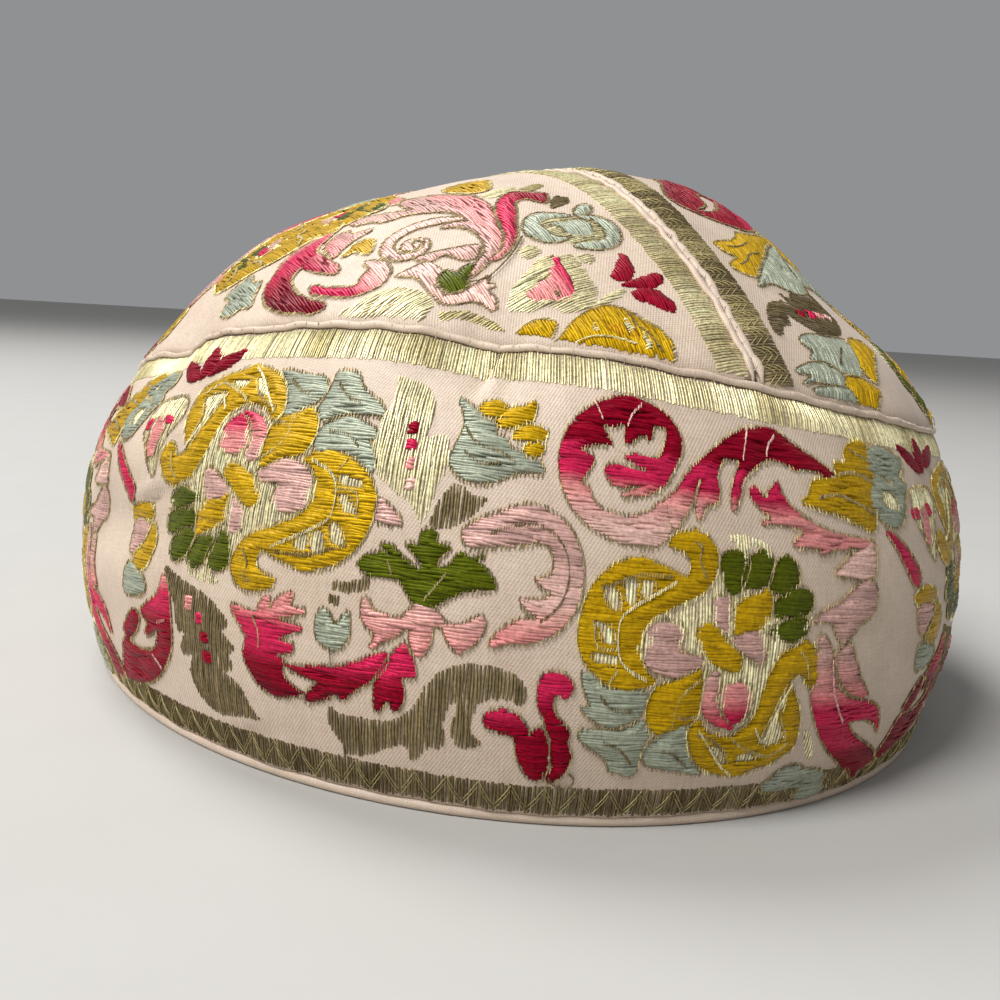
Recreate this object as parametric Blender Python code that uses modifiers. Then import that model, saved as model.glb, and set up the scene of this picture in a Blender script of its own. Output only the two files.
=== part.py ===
"""A soft pillbox hat sewn from lengths of figured silk ribbon: a band round the side, two crown
panels that meet at a seam from front to back, and the rolled selvages along the seams and the rim.

Metres, +Z up, the front towards -Y. The origin is on the table, under the middle of the hat.
"""

import math

import bmesh
import bpy
import numpy as np
from mathutils import Vector

# The rim's outline and the crown's form.
RIM_LENGTH = 0.191  # front to back
RIM_WIDTH = 0.169  # side to side
CROWN_HEIGHT = 0.100
PLAN_POWER = 2.48  # how square the crown's shoulder is: 2 is an ellipsoid
RISE_POWER = 2.13
BELLY = 0.092  # how far the side swells over the rim, as a share of its radius
CROWN_LEAN = (0.0007, -0.0041)  # how far the crown's top stands off the rim's middle

# The band's upper edge, which rises and falls twice in a turn.
BAND_HIGH = 0.0691
BAND_DIP = 0.0142
BAND_HIGH_AZIMUTH = math.radians(-133.8)

TOP_SEAM_X = -0.0059
WALL = 0.0016
GAP = 0.0003
SEAM_GAP = 0.0008  # from the middle of the band's upper seam to the cloth on either side

ROLL_STANDOFF = 0.0006  # from the cloth's face to the underside of a rolled selvage
EDGE_ROLL_RADIUS = 0.0008
SEAM_ROLL_RADIUS = 0.0008
SEAM_ROLL_SPREAD = 0.0013  # from the top seam's middle to the middle of each roll
RIM_ROLL_WIDTH = 0.0024
RIM_ROLL_HEIGHT = 0.0014
RIM_ROLL_FLAT = 0.8  # the share of its width that rests on the table
RIM_ROLL_SHOULDER = 0.35  # the share of its height where its sides start to round over
RIM_ROLL_SET = 0.0007  # from the band's outer face in to the middle of the rim's roll

ROUND_STEPS = 96
BAND_STEPS = 10
PANEL_LONG_STEPS = 40
PANEL_CROSS_STEPS = 9
RIM_PROFILE_STEPS = 5
PANEL_TIP = math.radians(2.5)  # where a panel's pointed end is cut short of the top seam

# Dents and swells of the soft form. Azimuth is from +X, level is a share of the crown's height,
# half_run is along the hat's round, half_rise is up its side, tilt turns the pair, lift is outwards.
DENT_COLUMNS = ("azimuth", "level", "half_run", "half_rise", "tilt", "lift")
DENTS = {
    "dart in the band's upper edge at the front": (-122.6, 0.675, 0.0080, 0.0100, 0, -0.0020),
    "dart in the band's upper edge at the left": (-173.0, 0.645, 0.0080, 0.0080, 0, -0.0026),
    "tuck on the left, its hollow": (-166.0, 0.345, 0.0240, 0.0060, 12, -0.0020),
    "tuck on the left, its lip": (-166.0, 0.475, 0.0260, 0.0070, 12, 0.0012),
    "crown flat at its left shoulder": (161.0, 0.660, 0.0240, 0.0180, 0, -0.0022),
    "crown flat at the left of its top": (178.0, 0.945, 0.0220, 0.0200, 0, -0.0015),
    "crown full at the front of its top": (-74.0, 0.965, 0.0240, 0.0220, 0, 0.0029),
    "hollow over the band at the right": (-57.0, 0.800, 0.0260, 0.0150, 0, -0.0023),
    "soft place at the back": (95.0, 0.420, 0.0320, 0.0160, 0, -0.0016),
    "dart in the band's upper edge at the back": (72.0, 0.675, 0.0080, 0.0090, 0, -0.0018),
    "dart in the band's upper edge at the right": (8.0, 0.600, 0.0080, 0.0085, 0, -0.0018),
}

# Colour as sRGB hex, roughness and metallic share of each finish.
FINISHES = {
    "figured_silk": ("#DCC8B4", 0.55, 0.0),
    "crown_silk": ("#D9C0AE", 0.55, 0.0),
    "rolled_selvage": ("#D8C4B2", 0.75, 0.0),
    "rim_selvage": ("#CDB9A4", 0.80, 0.0),
}


def rim_radius(azimuth):
    """The rim's radius at each azimuth."""
    return 1 / np.sqrt((2 * np.cos(azimuth) / RIM_WIDTH) ** 2 + (2 * np.sin(azimuth) / RIM_LENGTH) ** 2)


def spread(points_xy, level):
    """Points of the plan, given at the rim's size, as they stand at a level of the crown."""
    belly = 1 + BELLY * 4 * level * (1 - level)
    lean = level[..., None] ** 1.5 * np.array(CROWN_LEAN)
    return np.concatenate([points_xy * belly[..., None] + lean, CROWN_HEIGHT * level[..., None]], axis=-1)


def smooth_wall(azimuth, level):
    """The side of the undented form, by azimuth and level."""
    azimuth, level = np.broadcast_arrays(np.asarray(azimuth, float), np.asarray(level, float))
    radius = rim_radius(azimuth) * (1 - level**RISE_POWER) ** (1 / PLAN_POWER)
    return spread(np.stack([radius * np.cos(azimuth), radius * np.sin(azimuth)], axis=-1), level)


def dome_level(x, y):
    """The crown's level over a point of the plan."""
    share = np.hypot(x, y) / rim_radius(np.arctan2(y, x))
    return (1 - np.clip(share, 0, 1) ** PLAN_POWER) ** (1 / RISE_POWER)


def smooth_dome(x, y):
    """The top of the undented form, over a point of the plan."""
    x, y = np.broadcast_arrays(np.asarray(x, float), np.asarray(y, float))
    return spread(np.stack([x, y], axis=-1), dome_level(x, y))


def face_directions(surface, first, second):
    """The outward direction of a surface at each of its points."""
    step_first, step_second = 1e-4 * (1 + abs(first)), 1e-5 * (1 + abs(second))
    here = surface(first, second)
    along = surface(first + step_first, second) - here
    across = surface(first, second + step_second) - here
    outward = np.cross(along, across)
    return outward / np.linalg.norm(outward, axis=-1, keepdims=True)


def dent_lift(points):
    """How far the dents and swells move each point outwards."""
    lift = np.zeros(points.shape[:-1])
    for row in DENTS.values():
        dent = dict(zip(DENT_COLUMNS, row))
        azimuth, level = math.radians(dent["azimuth"]), dent["level"]
        centre = smooth_wall(azimuth, level)
        run = smooth_wall(azimuth + 0.001, level) - centre
        rise = smooth_wall(azimuth, level + 0.001) - centre
        run, rise = run / np.linalg.norm(run), rise / np.linalg.norm(rise)
        turn = math.radians(dent["tilt"])
        run, rise = run * math.cos(turn) + rise * math.sin(turn), rise * math.cos(turn) - run * math.sin(turn)
        offset = points - centre
        away = (offset @ run / dent["half_run"]) ** 2 + (offset @ rise / dent["half_rise"]) ** 2
        this_side = np.linalg.norm(offset, axis=-1) < RIM_WIDTH / 2
        lift += dent["lift"] * np.exp(-away) * this_side
    return lift


def plan_centre():
    """The middle of the form's box, seen from above."""
    azimuth, level = np.meshgrid(np.linspace(-math.pi, math.pi, 361), np.linspace(0, 0.6, 61))
    side = smooth_wall(azimuth, level)
    side += face_directions(smooth_wall, azimuth, level) * dent_lift(side)[..., None]
    return (side.min(axis=(0, 1)) + side.max(axis=(0, 1))) / 2 * (1, 1, 0)


def dented(surface, first, second, outwards=0.0):
    """Points of a surface with its dents, moved outwards by a further distance."""
    first, second = np.broadcast_arrays(np.asarray(first, float), np.asarray(second, float))
    points = surface(first, second)
    lift = dent_lift(points) + outwards
    return points + face_directions(surface, first, second) * lift[..., None] - PLAN_CENTRE


def band_top_level(azimuth):
    """The level of the seam between the band and the crown."""
    return (BAND_HIGH - BAND_DIP * np.sin(azimuth - BAND_HIGH_AZIMUTH) ** 2) / CROWN_HEIGHT


def crown_edge(azimuth):
    """The point of the plan under the crown panels' lower edge."""
    level = band_top_level(azimuth) + SEAM_GAP / CROWN_HEIGHT
    radius = rim_radius(azimuth) * (1 - level**RISE_POWER) ** (1 / PLAN_POWER)
    return radius * np.cos(azimuth), radius * np.sin(azimuth)


def seam_end_azimuth(front):
    """The azimuth at which the top seam meets the band, found by halving."""
    low, high = (-math.pi, -math.pi / 2) if front else (math.pi / 2, math.pi)
    for _ in range(40):
        middle = (low + high) / 2
        if (crown_edge(middle)[0] < TOP_SEAM_X) == front:
            low = middle
        else:
            high = middle
    return (low + high) / 2


PLAN_CENTRE = plan_centre()


def srgb_to_linear(hex_colour):
    """A hex colour as linear red, green, blue and alpha."""
    channels = [int(hex_colour[i : i + 2], 16) / 255 for i in (1, 3, 5)]
    return [c / 12.92 if c <= 0.04045 else ((c + 0.055) / 1.055) ** 2.4 for c in channels] + [1.0]


def finish(name):
    """The Principled material of a finish."""
    colour, roughness, metallic = FINISHES[name]
    material = bpy.data.materials.new(name)
    material.use_nodes = True
    shader = material.node_tree.nodes["Principled BSDF"]
    shader.inputs["Base Color"].default_value = srgb_to_linear(colour)
    shader.inputs["Roughness"].default_value = roughness
    shader.inputs["Metallic"].default_value = metallic
    return material


def add_mapped_grid(name, parts, material, steps, place, closed=False):
    """A grid whose points are placed by a function of two shares; edges that meet are joined if closed."""
    shape = bmesh.new()
    bmesh.ops.create_grid(shape, x_segments=steps[0], y_segments=steps[1], size=0.5)
    shares = np.array([vertex.co[:2] for vertex in shape.verts]) + 0.5
    for vertex, point in zip(shape.verts, place(shares[:, 0], shares[:, 1])):
        vertex.co = point
    if closed:
        bmesh.ops.remove_doubles(shape, verts=shape.verts, dist=1e-6)
    shape.normal_update()
    inside = Vector((0, 0, CROWN_HEIGHT / 4))
    if sum(face.normal.dot(face.calc_center_median() - inside) for face in shape.faces) < 0:
        bmesh.ops.reverse_faces(shape, faces=shape.faces)
    mesh = bpy.data.meshes.new(name)
    shape.to_mesh(mesh)
    shape.free()
    mesh.shade_smooth()
    mesh.materials.append(material)
    piece = bpy.data.objects.new(name, mesh)
    parts.objects.link(piece)
    return piece


def add_wall(piece):
    """The cloth's thickness, laid inwards from the face."""
    wall = piece.modifiers.new("cloth", "SOLIDIFY")
    wall.thickness = WALL
    wall.offset = -1


def add_band(parts):
    """The ribbon round the side, from above the rim's roll to the crown's seam."""
    low = (RIM_ROLL_HEIGHT + GAP) / CROWN_HEIGHT

    def place(round_share, rise_share):
        azimuth = (round_share * 2 - 1) * math.pi
        high = band_top_level(azimuth) - SEAM_GAP / CROWN_HEIGHT
        return dented(smooth_wall, azimuth, low + (high - low) * rise_share)

    steps = (ROUND_STEPS, BAND_STEPS)
    add_wall(add_mapped_grid("band", parts, finish("figured_silk"), steps, place, closed=True))


def add_top_panel(name, parts, side):
    """The crown panel on one side of the top seam: side is -1 for -X and +1 for +X."""
    front, back = seam_end_azimuth(True), seam_end_azimuth(False)
    if side < 0:
        front, back = front + 2 * math.pi - PANEL_TIP, back + PANEL_TIP
    else:
        front, back = front + PANEL_TIP, back - PANEL_TIP
    seam_x = TOP_SEAM_X + side * GAP

    front_y, back_y = crown_edge(front)[1], crown_edge(back)[1]

    def place(along_share, across_share):
        edge_x, edge_y = crown_edge(front + (back - front) * along_share)
        seam_y = front_y + (back_y - front_y) * (1 - np.cos(math.pi * along_share)) / 2
        x = seam_x + (edge_x - seam_x) * across_share
        y = seam_y + (edge_y - seam_y) * across_share
        return dented(smooth_dome, x, y)

    steps = (PANEL_LONG_STEPS, PANEL_CROSS_STEPS)
    add_wall(add_mapped_grid(name, parts, finish("crown_silk"), steps, place))


def add_roll(name, parts, material, route, radius, closed):
    """A rolled selvage: a round tube along a route."""
    curve = bpy.data.curves.new(name, "CURVE")
    curve.dimensions = "3D"
    curve.bevel_depth = radius
    curve.bevel_resolution = 2
    curve.use_fill_caps = not closed
    spline = curve.splines.new("POLY")
    spline.points.add(len(route) - 1)
    for point, place in zip(spline.points, route):
        point.co = (*place, 1)
    spline.use_cyclic_u = closed
    curve.materials.append(material)
    parts.objects.link(bpy.data.objects.new(name, curve))


def add_band_edge_roll(parts):
    """The selvage that stands proud where the band meets the crown."""
    azimuth = np.linspace(-math.pi, math.pi, ROUND_STEPS, endpoint=False)
    route = dented(smooth_wall, azimuth, band_top_level(azimuth), outwards=EDGE_ROLL_RADIUS + ROLL_STANDOFF)
    add_roll("band_edge_roll", parts, finish("rolled_selvage"), route, EDGE_ROLL_RADIUS, closed=True)


def add_seam_roll(name, parts, side):
    """The selvage of one crown panel along the top seam, between the band's edge rolls."""
    ends = [crown_edge(seam_end_azimuth(front))[1] for front in (True, False)]
    clearance = 4 * EDGE_ROLL_RADIUS
    turn = np.linspace(0, math.pi, PANEL_LONG_STEPS + 1)
    middle, half = sum(ends) / 2, (ends[1] - ends[0]) / 2 - clearance
    y = middle - half * np.cos(turn)
    x = TOP_SEAM_X + side * SEAM_ROLL_SPREAD
    route = dented(smooth_dome, x, y, outwards=SEAM_ROLL_RADIUS + ROLL_STANDOFF)
    add_roll(name, parts, finish("rolled_selvage"), route, SEAM_ROLL_RADIUS, closed=False)


def add_rim_roll(parts):
    """The turned edge round the opening: flat below, rounded above."""
    arch = np.linspace(0, math.pi, RIM_PROFILE_STEPS + 1)
    shoulder = RIM_ROLL_SHOULDER + (1 - RIM_ROLL_SHOULDER) * np.sin(arch)
    outline = [(-RIM_ROLL_FLAT, 0), (RIM_ROLL_FLAT, 0), *zip(np.cos(arch), shoulder), (-RIM_ROLL_FLAT, 0)]
    profile = np.array(outline) * (RIM_ROLL_WIDTH / 2, RIM_ROLL_HEIGHT)

    def place(round_share, profile_share):
        azimuth = (round_share * 2 - 1) * math.pi
        corner = profile[np.rint(profile_share * (len(profile) - 1)).astype(int)]
        rim = dented(smooth_wall, azimuth, np.zeros_like(azimuth))
        outward = np.stack([np.cos(azimuth), np.sin(azimuth), 0 * azimuth], axis=-1)
        points = rim + outward * (corner[:, :1] - RIM_ROLL_SET)
        points[:, 2] = corner[:, 1]
        return points

    steps = (ROUND_STEPS, len(profile) - 1)
    roll = add_mapped_grid("rim_roll", parts, finish("rim_selvage"), steps, place, closed=True)
    shape = bmesh.new()
    shape.from_mesh(roll.data)
    bmesh.ops.recalc_face_normals(shape, faces=shape.faces)
    shape.to_mesh(roll.data)
    shape.free()


def main():
    """Clears the scene and builds the hat."""
    for old in list(bpy.data.objects):
        bpy.data.objects.remove(old, do_unlink=True)
    parts = bpy.data.collections.new("pillbox_hat")
    bpy.context.scene.collection.children.link(parts)
    add_band(parts)
    add_top_panel("top_panel_left", parts, -1)
    add_top_panel("top_panel_right", parts, +1)
    add_band_edge_roll(parts)
    add_seam_roll("seam_roll_left", parts, -1)
    add_seam_roll("seam_roll_right", parts, +1)
    add_rim_roll(parts)


main()
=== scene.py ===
"""A soft pillbox hat sewn from lengths of figured silk ribbon, on a plain floor in soft light.

The frame's plain solids are replaced by woven cloth: a band and two crown panels with their weave,
the rolled selvages of the seams, and the brocading threads that draw the figures on the ribbon.
Places on the cloth are given in millimetres on two flat charts. The band's chart has u along the
rim, from azimuth -120 degrees, and v up the ribbon. The crown's chart is polar: a point's distance
from the middle is its length over the cloth, and its direction is its azimuth.
"""

import logging
import math
from dataclasses import dataclass, field
from enum import Enum
from typing import Callable, Iterator, Sequence

import bpy
import numpy as np
from bpy.types import Material, Mesh, Node, NodeSocket, NodeTree, Object
from mathutils import Matrix, Vector
from numpy import ndarray as Array
from numpy.random import Generator


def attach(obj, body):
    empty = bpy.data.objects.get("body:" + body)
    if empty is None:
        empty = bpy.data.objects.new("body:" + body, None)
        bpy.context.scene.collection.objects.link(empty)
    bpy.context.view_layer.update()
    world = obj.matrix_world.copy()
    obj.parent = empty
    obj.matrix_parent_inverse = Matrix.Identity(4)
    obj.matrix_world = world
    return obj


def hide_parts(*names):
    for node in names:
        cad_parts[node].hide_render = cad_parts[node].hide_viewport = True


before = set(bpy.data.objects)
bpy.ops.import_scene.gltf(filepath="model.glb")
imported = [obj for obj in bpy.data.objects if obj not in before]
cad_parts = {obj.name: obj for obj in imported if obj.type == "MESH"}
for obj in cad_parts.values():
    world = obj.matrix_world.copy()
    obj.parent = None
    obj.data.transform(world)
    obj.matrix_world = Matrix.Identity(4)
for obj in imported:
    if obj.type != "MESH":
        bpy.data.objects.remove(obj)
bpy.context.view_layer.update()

LOG = logging.getLogger("pillbox_hat")
MM = 0.001
BODY = "root"
TOP_SEAM_X = -0.0068  # the top seam's line over the plan


# colours and small helpers


class Silk(Enum):
    """The dyed silks, metal threads and grounds of the ribbon, as sRGB hex."""

    CREAM = "#D8C5B1"
    BLUSH = "#DEB7AA"
    ROSE = "#D48A86"
    HOT = "#BE244D"
    CRIMSON = "#840821"
    DEEP = "#6D051B"
    MAUVE = "#C39C92"
    MIST = "#999E8B"
    LEAF = "#4F560F"
    MUSTARD = "#B59012"
    AMBER = "#AB7E12"
    DRAB = "#9A8B66"
    OLIVE = "#857654"
    # dark brown metal, made darker for painted shade on the band's lower strip
    SHADED_UMBER = "#66583A"
    GILT = "#F0E6BA"
    BRASS = "#BFB180"


def srgb_to_linear(hex_colour: str) -> tuple[float, float, float, float]:
    """Turns a hex colour to linear light.

    Args:
        hex_colour: the colour as "#RRGGBB".

    Returns:
        Linear red, green, blue and an alpha of 1.
    """
    channels = [int(hex_colour[i : i + 2], 16) / 255 for i in (1, 3, 5)]
    linear = [c / 12.92 if c <= 0.04045 else ((c + 0.055) / 1.055) ** 2.4 for c in channels]
    return (linear[0], linear[1], linear[2], 1.0)


LINEAR = {silk: np.array(srgb_to_linear(silk.value)[:3]) for silk in Silk}


def set_inputs(node: Node, inputs: dict) -> None:
    """Gives a node a value or an output socket for each input, by name or index."""
    for key, value in inputs.items():
        socket = node.inputs[key]
        if isinstance(value, NodeSocket):
            node.id_data.links.new(value, socket)
        else:
            socket.default_value = value


def add_node(tree: NodeTree, kind: str, inputs: dict | None = None, **settings) -> Node:
    """Adds a node with its settings and links.

    Args:
        tree: the shader or geometry tree.
        kind: the node's type name.
        inputs: a value or an output socket for each input, by name or index.
        **settings: the node's own properties.

    Returns:
        The new node.
    """
    node = tree.nodes.new(kind)
    for name, value in settings.items():
        setattr(node, name, value)
    set_inputs(node, inputs or {})
    return node


def start_material(name: str) -> tuple[Material, NodeTree, Node]:
    """A new material with its tree and its shader."""
    material = bpy.data.materials.new(name)
    material.use_nodes = True
    return material, material.node_tree, material.node_tree.nodes["Principled BSDF"]


# the hat's form and its charts


@dataclass(frozen=True)
class Dent:
    """A soft dent or swell of the form, as a tilted bell in the cloth's own plane."""

    azimuth: float  # degrees from +X
    level: float  # share of the crown's height
    half_run: float  # along the hat's round, metres
    half_rise: float  # up its side
    tilt: float  # degrees
    lift: float  # outwards


DENTS = (
    Dent(-122.6, 0.675, 0.0080, 0.0100, 0, -0.0020),  # dart in the band's edge at the front
    Dent(-173.0, 0.645, 0.0080, 0.0080, 0, -0.0026),  # dart at the left
    Dent(-166.0, 0.345, 0.0240, 0.0060, 12, -0.0020),  # tuck on the left, its hollow
    Dent(-166.0, 0.475, 0.0260, 0.0070, 12, 0.0012),  # and its lip
    Dent(161.0, 0.660, 0.0240, 0.0180, 0, -0.0022),  # crown flat at its left shoulder
    Dent(178.0, 0.945, 0.0220, 0.0200, 0, -0.0015),  # crown flat at the left of its top
    Dent(-74.0, 0.965, 0.0240, 0.0220, 0, 0.0029),  # crown full at the front of its top
    Dent(-57.0, 0.800, 0.0260, 0.0150, 0, -0.0023),  # hollow over the band at the right
    Dent(95.0, 0.420, 0.0320, 0.0160, 0, -0.0016),  # soft place at the back
    Dent(72.0, 0.675, 0.0080, 0.0090, 0, -0.0018),  # dart at the back
    Dent(8.0, 0.600, 0.0080, 0.0085, 0, -0.0018),  # dart at the right
)


@dataclass(frozen=True)
class HatForm:
    """The crown's form over its oval rim, in metres, with its dents."""

    rim_length: float = 0.191
    rim_width: float = 0.169
    height: float = 0.100
    plan_power: float = 2.48
    rise_power: float = 2.13
    belly: float = 0.092
    lean: tuple[float, float] = (0.0007, -0.0041)
    band_high: float = 0.0691
    band_dip: float = 0.0142
    band_high_azimuth: float = math.radians(-133.8)
    dents: tuple[Dent, ...] = DENTS
    centre: tuple[float, float, float] = (0.00015, -0.00062, 0.0)

    def rim_radius(self, azimuth: Array) -> Array:
        """The rim's radius at each azimuth."""
        across, along = 2 * np.cos(azimuth) / self.rim_width, 2 * np.sin(azimuth) / self.rim_length
        return 1 / np.sqrt(across**2 + along**2)

    def band_top(self, azimuth: Array) -> Array:
        """The level of the seam between band and crown."""
        dip = self.band_dip * np.sin(azimuth - self.band_high_azimuth) ** 2
        return (self.band_high - dip) / self.height

    def at_level(self, plan: Array, level: Array) -> Array:
        """Lifts points of the plan, given at the rim's size, to a level of the crown.

        Args:
            plan: x and y in the last axis.
            level: share of the crown's height.

        Returns:
            Points of the undented form.
        """
        belly = 1 + self.belly * 4 * level * (1 - level)
        lean = level[..., None] ** 1.5 * np.array(self.lean)
        return np.concatenate([plan * belly[..., None] + lean, self.height * level[..., None]], axis=-1)

    def radius(self, azimuth: Array, level: Array) -> Array:
        """The plan's radius, given at the rim's size, at each azimuth and level."""
        return self.rim_radius(azimuth) * (1 - level**self.rise_power) ** (1 / self.plan_power)

    def wall(self, azimuth: Array, level: Array) -> Array:
        """The undented side by azimuth and level."""
        azimuth, level = np.broadcast_arrays(np.asarray(azimuth, float), np.asarray(level, float))
        radius = self.radius(azimuth, level)
        return self.at_level(np.stack([radius * np.cos(azimuth), radius * np.sin(azimuth)], axis=-1), level)

    def dome(self, x: Array, y: Array) -> Array:
        """The undented top over points of the plan."""
        x, y = np.broadcast_arrays(np.asarray(x, float), np.asarray(y, float))
        share = np.hypot(x, y) / self.rim_radius(np.arctan2(y, x))
        level = (1 - np.clip(share, 0, 0.9999) ** self.plan_power) ** (1 / self.rise_power)
        return self.at_level(np.stack([x, y], axis=-1), level)

    def dent_lift(self, points: Array) -> Array:
        """How far the dents move each point of the undented form outwards."""
        lift = np.zeros(points.shape[:-1])
        for dent in self.dents:
            azimuth, level = math.radians(dent.azimuth), dent.level
            centre = self.wall(azimuth, level)
            run = self.wall(azimuth + 0.001, level) - centre
            rise = self.wall(azimuth, level + 0.001) - centre
            run, rise = run / np.linalg.norm(run), rise / np.linalg.norm(rise)
            cos, sin = math.cos(math.radians(dent.tilt)), math.sin(math.radians(dent.tilt))
            run, rise = run * cos + rise * sin, rise * cos - run * sin
            offset = points - centre
            away = (offset @ run / dent.half_run) ** 2 + (offset @ rise / dent.half_rise) ** 2
            lift += dent.lift * np.exp(-away) * (np.linalg.norm(offset, axis=-1) < self.rim_width / 2)
        return lift


@dataclass
class ClothChart:
    """A flat chart of one cloth surface: its places in space on an even grid, read between nodes."""

    low: tuple[float, float]  # the first node's chart place, mm
    steps: tuple[float, float]  # mm between nodes
    points: Array  # (first, second, 3) metres
    wraps: bool  # whether the first coordinate joins up with itself
    normals: Array = field(init=False)

    def __post_init__(self) -> None:
        """Works out the outward directions."""
        self.find_normals()

    def find_normals(self) -> None:
        """Works out the outward directions from the places."""
        edge = "wrap" if self.wraps else "edge"
        wide = np.pad(self.points, ((1, 1), (0, 0), (0, 0)), mode=edge)
        across = np.gradient(self.points, axis=1)
        normal = np.cross(wide[2:] - wide[:-2], across)
        length = np.linalg.norm(normal, axis=-1, keepdims=True)
        self.normals = normal / np.maximum(length, 1e-12)

    def press(self, relief: Callable[[Array, Array], Array]) -> None:
        """Moves the surface outwards by a relief given in mm of the chart."""
        count = self.points.shape
        first = self.low[0] + self.steps[0] * np.arange(count[0])[:, None]
        second = self.low[1] + self.steps[1] * np.arange(count[1])[None, :]
        lift = relief(*np.broadcast_arrays(first, second)) * MM
        self.points = self.points + self.normals * lift[..., None]
        self.find_normals()

    def read(self, table: Array, first: Array, second: Array) -> Array:
        """Reads a table at chart places, straight between its nodes."""
        i = (np.asarray(first, float) - self.low[0]) / self.steps[0]
        j = np.clip((np.asarray(second, float) - self.low[1]) / self.steps[1], 0, table.shape[1] - 1.001)
        if self.wraps:
            i = np.mod(i, table.shape[0])
        else:
            i = np.clip(i, 0, table.shape[0] - 1.001)
        i0, j0 = np.floor(i).astype(int), np.floor(j).astype(int)
        fi, fj = (i - i0)[..., None], (j - j0)[..., None]
        i1 = (i0 + 1) % table.shape[0]
        i0 = i0 % table.shape[0]
        near = table[i0, j0] * (1 - fj) + table[i0, j0 + 1] * fj
        far = table[i1, j0] * (1 - fj) + table[i1, j0 + 1] * fj
        return near * (1 - fi) + far * fi

    def place(self, first: Array, second: Array, lift: Array | float = 0.0) -> Array:
        """Places in space of chart places, a lift in mm above the cloth."""
        lift = np.asarray(lift, float) * MM * np.ones(np.shape(first))
        return self.read(self.points, first, second) + self.facing(first, second) * lift[..., None]

    def facing(self, first: Array, second: Array) -> Array:
        """The cloth's outward direction at chart places."""
        return self.read(self.normals, first, second)


@dataclass
class ChartMaker:
    """Lays the two flat charts over the hat's form."""

    form: HatForm
    ribbon: float = 68.0  # the band's chart height, from the floor to the seam, mm
    start_azimuth: float = math.radians(-120)
    band_low: float = -1.0  # the band's chart runs from here, mm
    band_high: float = 71.0
    crown_reach: float = 118.0  # the crown's chart runs this far each way
    fine: float = 0.25  # between the lengths tabulated over the crown

    def __post_init__(self) -> None:
        """Tabulates the length along the rim."""
        self.turn = np.linspace(-math.pi, math.pi, 2001)
        rim = self.form.wall(self.turn, 0 * self.turn)
        length = np.concatenate([[0], np.cumsum(np.linalg.norm(np.diff(rim, axis=0), axis=1))]) / MM
        self.girth = float(length[-1])
        self.along = length - np.interp(self.start_azimuth, self.turn, length)

    def azimuth_at(self, u: Array) -> Array:
        """The azimuth at a length along the rim."""
        low = self.along[0]
        return np.interp(np.mod(np.asarray(u) - low, self.girth) + low, self.along, self.turn)

    def dented(self, points: Array, outward: Array) -> Array:
        """Presses the dents into smooth points and sets them over the origin."""
        return points + outward * self.form.dent_lift(points)[..., None] - np.array(self.form.centre)

    def band(self, step: float = 0.5) -> ClothChart:
        """The band's chart: u wraps round, v is a share of the wall's length up to the seam."""
        columns = int(round(self.girth / step))
        azimuth = self.azimuth_at(np.arange(columns) * self.girth / columns)
        top = self.form.band_top(azimuth)
        share = np.linspace(0, 1.25, 126)
        level = np.clip(share[None, :] * top[:, None], 0, 0.97)
        line = self.form.wall(azimuth[:, None], level)
        length = np.cumsum(np.linalg.norm(np.diff(line, axis=1), axis=-1), axis=1)
        length = np.concatenate([np.zeros((columns, 1)), length], axis=1)
        seam = np.array([np.interp(1.0, share, row) for row in length])
        rows = np.arange(self.band_low, self.band_high + step / 2, step) / self.ribbon
        at = np.array([np.interp(rows, length[i] / seam[i], level[i]) for i in range(columns)])
        at[:, rows < 0] = rows[rows < 0] * top[:, None]
        smooth = self.form.wall(azimuth[:, None], np.maximum(at, 0))
        smooth[..., 2] += np.minimum(at, 0) * self.form.height
        chart = ClothChart((0.0, self.band_low), (self.girth / columns, step), smooth, True)
        chart.points = self.dented(smooth, chart.normals)
        chart.find_normals()
        return chart

    def crown(self, step: float = 0.5) -> ClothChart:
        """The crown's polar chart over the whole top, some way down the band."""
        azimuth = np.linspace(-math.pi, math.pi, 721)
        share = np.linspace(0, 0.985, 500)
        reach = share[None, :] * self.form.rim_radius(azimuth)[:, None]
        line = self.form.dome(reach * np.cos(azimuth)[:, None], reach * np.sin(azimuth)[:, None])
        length = np.cumsum(np.linalg.norm(np.diff(line, axis=1), axis=-1), axis=1) / MM
        length = np.concatenate([np.zeros((len(azimuth), 1)), length], axis=1)
        even = np.arange(0, self.crown_reach, self.fine)
        share_at = np.array([np.interp(even, row, share) for row in length])
        axis = np.arange(-self.crown_reach, self.crown_reach + step / 2, step)
        x, y = np.meshgrid(axis, axis, indexing="ij")
        turn, far = np.arctan2(y, x), np.hypot(x, y)
        i = (turn + math.pi) / (2 * math.pi) * (len(azimuth) - 1)
        j = np.clip(far / self.fine, 0, len(even) - 1.001)
        i0, j0 = np.minimum(i.astype(int), len(azimuth) - 2), j.astype(int)
        fi, fj = i - i0, j - j0
        near = share_at[i0, j0] * (1 - fj) + share_at[i0, j0 + 1] * fj
        over = share_at[i0 + 1, j0] * (1 - fj) + share_at[i0 + 1, j0 + 1] * fj
        radius = (near * (1 - fi) + over * fi) * self.form.rim_radius(turn)
        smooth = self.form.dome(radius * np.cos(turn), radius * np.sin(turn))
        chart = ClothChart((-self.crown_reach, -self.crown_reach), (step, step), smooth, False)
        chart.points = self.dented(smooth, chart.normals)
        chart.find_normals()
        return chart


# materials


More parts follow.
